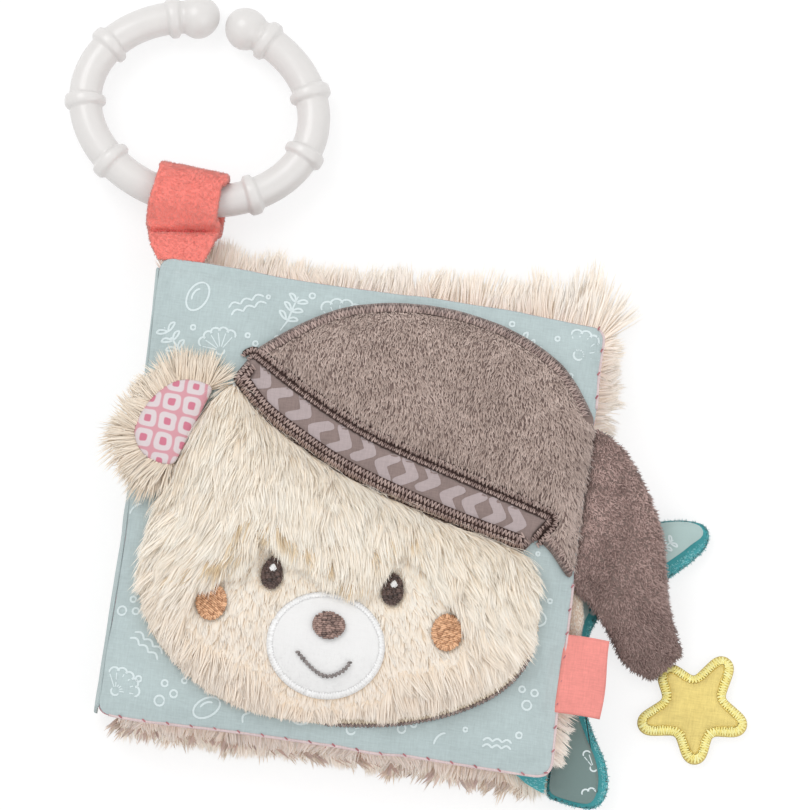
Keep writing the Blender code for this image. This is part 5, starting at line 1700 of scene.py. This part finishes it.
def fin_layer(name, node, material, bulge):
    loop = soften(outline(node), 0.0012, 2)
    loop = np.c_[np.maximum(loop[:, 0], FIN_START), loop[:, 1]]
    printed = node == "fin_print_front"
    if printed:
        out = outward(loop)
        upper = loop[:, 1] > FIN_PARTING
        below = np.clip(out @ np.array([0.35, -0.94]), 0, 1) * np.where(upper, 0.0036, 0.0006)
        right = np.clip(out[:, 0], 0, 1) * np.where(upper, 0.0008, 0.0022)
        loop = soften(loop - out * np.maximum(below, right)[:, None], 0.0012, 2)
    flat = fill(loop, 0.0013)
    x, y = flat[0].T
    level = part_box(node)[1].z - 0.0010 - FIN_SLOPE * (x - 0.0667)
    edge = eased(distance(flat[0], loop), 0.003)
    crinkle = 0.0004 * ripple(x, y, 0.008, 131)
    if printed:
        low, high = level, level + 0.0003 + edge * 0.0011 + crinkle * edge
    else:
        low, high = level - 0.0001 - edge * 0.0021, level - 0.0001
    return slab(name, flat, low, high, material, None, bulge)


def make_fish():
    """The plush fish on the back cover, which carries the fin, and the fin's root between the pages."""
    for name, form, voxel, length, width, seed in (
        ("fish_body", "fish_form", 0.0009, 0.0012, 0.0007, 141),
        ("fin_root", "root_form", 0.0006, 0.0011, 0.0006, 142),
    ):
        points, faces = remeshed(form, [name], voxel, 6)
        made = sewn(piece(f"{name}_backing", points, faces, TURQUOISE_CLOTH,
                          "back_cover"), 0.5, name)
        pile(f"{name}_pile", made, 0.00075, length, width, TURQUOISE_PILE,
             "back_cover", seed, lean=(0.9, 0, 0), keep=lambda p, m: m[:, 2] > 0.1)


def make_spine():
    """The cotton that joins the two covers."""
    low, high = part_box("spine_binding")
    ys = np.linspace(low.y, high.y, 90)
    levels = np.linspace(low.z, FRONT_SEAM - 0.0001, 22)
    v, w = np.meshgrid(ys, levels)
    out = 0.0004 * ripple(v, w * 3, 0.009, 151)
    out = out + 0.0009 * np.sin((w - low.z) / (FRONT_SEAM - low.z) * math.pi)
    moves = np.array(COVER_MOVES)[:, 0]
    edge = moves[0] + (moves[3] - moves[0]) * (0.5 - v / (2 * COVER_HALF))
    edge = edge + 0.0010 * (1 - (v / COVER_HALF) ** 2)
    x = low.x + 0.0010 + edge * np.clip((w - low.z) / 0.010, 0.3, 1) - out * 0.6
    outer = np.stack([x, v, w], 2).reshape(-1, 3)
    points, faces = sheet(outer, outer + np.array([0.0006, 0, 0]), len(levels), len(ys))
    made = piece("spine_cloth", points, faces, TEAL)
    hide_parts("spine_binding")
    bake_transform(made)


# Printed motifs, all of them plain line drawings


def arc(centre, radius, start, end, count=14, flat=1.0):
    a = np.linspace(start, end, count)
    return np.c_[centre[0] + radius * np.cos(a), centre[1] + radius * flat * np.sin(a)]


def turned(paths, centre, turn, size=1.0):
    return [np.asarray(p) * size @ spin(turn).T + centre for p in paths]


def shell():
    """A fan shell: a scalloped rim, ribs and a small foot."""
    rim = []
    for k in range(5):
        a = math.radians(30 + 24 * k + 12)
        rim.append(arc(0.0052 * heading(a), 0.0014, a - 1.5, a + 1.5, 8))
    ribs = [np.array([0.0011 * heading(a), 0.0050 * heading(a)])
            for a in np.radians([34, 58, 82, 106, 130, 152])]
    return rim + ribs + [arc((0, 0), 0.0012, math.pi, 2 * math.pi, 8)]


def sprig():
    """A stem with three pairs of leaves."""
    stem = np.array([[0, -0.005], [0.0004, -0.002], [0, 0.001], [-0.0003, 0.0045]])
    leaves = []
    for y in (-0.002, 0.0005, 0.003):
        for side in (-1, 1):
            s = np.linspace(0, math.pi, 8)
            leaf = np.c_[side * 0.0026 * s / math.pi, y + 0.0012 * s / math.pi + 0.0008 * np.sin(s)]
            leaves += [leaf, np.c_[leaf[:, 0], y + 0.0012 * s / math.pi - 0.0003 * np.sin(s)]]
    return [stem] + leaves


def waves():
    s = np.linspace(0, 3 * math.pi, 30)
    return [np.c_[0.0009 * s - 0.0042, 0.0009 * np.abs(np.sin(s)) + k * 0.0018] for k in (0, 1)]


def rings():
    return [arc((x, y), r, 0, 2 * math.pi, 14)
            for x, y, r in ((0, 0, 0.0011), (0.0031, 0.0016, 0.0008), (0.0010, 0.0038, 0.0007))]


def pebble():
    return [arc((0, 0), 0.0042, 0, 2 * math.pi, 26, 0.62), arc((0, 0), 0.0022, 0.3, 2.4, 8, 0.62)]


def cover_motifs():
    """The motifs in a loose layout of rows over the cover, each turned its own way."""
    kinds = (shell, waves, rings, sprig, pebble)
    source = rng(161)
    paths = []
    count = 0
    for row, y in enumerate(np.arange(-0.060, 0.063, 0.0128)):
        for x in np.arange(-0.059 + 0.0068 * (row % 2), 0.063, 0.0136):
            spot = np.array([x, y]) + source.uniform(-0.0018, 0.0018, 2)
            kind = kinds[(count * 2 + row * 3) % len(kinds)]
            count += 1
            for path in turned(kind(), spot, source.uniform(-1.2, 1.2), source.uniform(0.95, 1.3)):
                if np.abs(path).max() < COVER_HALF - 0.0012:
                    paths.append(path)
            dot = spot + source.uniform(-1, 1, 2) * 0.0015 + (0.0058, 0.0052)
            if np.abs(dot).max() < COVER_HALF - 0.0022:
                paths.append(arc(dot, source.uniform(0.0005, 0.0009), 0, 2 * math.pi, 12))
    return paths


def make_cover_print(cover):
    ground = heights(cover)
    hidden = [grown(FACE, -0.002), grown(CROWN, -0.002), grown(BAND, -0.001)]
    shown = [path for path in cover_motifs()
             if not np.any([inside(path, loop) for loop in hidden], axis=0).all()]
    strokes("cover_motifs", shown, 0.00029, lambda p: ground(p, FRONT_SEAM), WHITE_PRINT,
            "front_cover", 0.00009)


def fin_motifs():
    loop = grown(soften(outline("fin_print_front"), 0.0012, 2), -0.0016)
    source = rng(162)
    kinds = itertools.cycle((waves, shell, sprig, rings))
    paths = []
    for y in np.arange(loop[:, 1].min(), loop[:, 1].max(), 0.0095):
        for x in np.arange(loop[:, 0].min(), loop[:, 0].max(), 0.0105):
            spot = np.array([x, y]) + source.uniform(-0.0015, 0.0015, 2)
            motif = turned(next(kinds)(), spot, source.uniform(-1, 1), 0.8)
            paths += [path for path in motif if inside(path, loop).all()]
    return paths


# Stage


WORLD_STRENGTH = 0.76
FLOOR_GLOW = 0.74
FLOOR_HALF = 3.0
FLOOR_Z = -0.0003
LAMPS = (
    ("key_light", (-0.55, 0.50, 0.95), 0.65, 4.0),
    ("fill_light", (0.70, -0.30, 0.80), 0.80, 2.2),
)


def make_stage():
    scene = bpy.context.scene
    scene.view_settings.view_transform = "Standard"
    world = bpy.data.worlds.new("studio")
    world.use_nodes = True
    world.node_tree.nodes["Background"].inputs["Color"].default_value = (1, 1, 1, 1)
    world.node_tree.nodes["Background"].inputs["Strength"].default_value = WORLD_STRENGTH
    scene.world = world

    material = bpy.data.materials.new("floor_white")
    material.use_nodes = True
    tree = material.node_tree
    tree.nodes.remove(tree.nodes["Principled BSDF"])
    rays = add(tree, "ShaderNodeLightPath")
    seen = number(tree, "MAXIMUM", rays.outputs["Is Camera Ray"],
                  number(tree, "MAXIMUM", rays.outputs["Is Glossy Ray"], rays.outputs["Is Transmission Ray"]))
    matte = add(tree, "ShaderNodeBsdfDiffuse", Color=(0.80, 0.80, 0.80, 1))
    pale = add(tree, "ShaderNodeBsdfDiffuse", Color=(0.30, 0.30, 0.30, 1))
    glow = add(tree, "ShaderNodeEmission", Color=(1, 1, 1, 1), Strength=FLOOR_GLOW)
    both = add(tree, "ShaderNodeAddShader", a=pale.outputs[0], b=glow.outputs[0])
    mixed = add(tree, "ShaderNodeMixShader", a=seen, b=matte.outputs[0], c=both.outputs[0])
    tree.links.new(mixed.outputs[0], tree.nodes["Material Output"].inputs["Surface"])
    mesh = bpy.data.meshes.new("floor")
    corners = ((-1, -1), (1, -1), (1, 1), (-1, 1))
    mesh.from_pydata([(FLOOR_HALF * x, FLOOR_HALF * y, FLOOR_Z) for x, y in corners], [], [(0, 1, 2, 3)])
    mesh.materials.append(material)
    placed("floor", mesh)

    for name, place, size, power in LAMPS:
        lamp = bpy.data.lights.new(name, "AREA")
        lamp.size = size
        lamp.energy = power
        made = placed(name, lamp)
        made.location = place
        made.rotation_euler = Vector(place).to_track_quat("Z", "Y").to_euler()

    lens = bpy.data.cameras.new("camera")
    lens.sensor_width = SENSOR
    lens.lens = SENSOR * CAMERA_DISTANCE / (PIXEL * IMAGE_SIDE)
    lens.clip_end = 20
    camera = placed("camera", lens)
    right = Vector((math.cos(BOOK_TURN), math.sin(BOOK_TURN), 0))
    ahead = Vector((-math.sin(BOOK_TURN), math.cos(BOOK_TURN), 0))
    target = right * AIM_RIGHT + ahead * AIM_UP + Vector((0, 0, AIM_Z))
    back = Vector((0, 0, math.sin(CAMERA_RISE))) - ahead * math.cos(CAMERA_RISE)
    camera.location = target + back * CAMERA_DISTANCE
    turn = back.to_track_quat("Z", "Y").to_matrix()
    up = back.cross(right)
    for k in range(3):
        turn[k][0], turn[k][1], turn[k][2] = right[k], up[k], back[k]
    camera.rotation_euler = turn.to_euler()
    scene.camera = camera


make_stage()
dress_inner_nodes()
make_cover_print(make_front_cover())
make_leaf()
make_back_cover()
make_side_pieces()
make_face()
make_features()
make_cap()
make_ear()
make_tail()
make_star()
make_label()
make_loop()
make_ring()
make_fin()
make_fish()
make_spine()
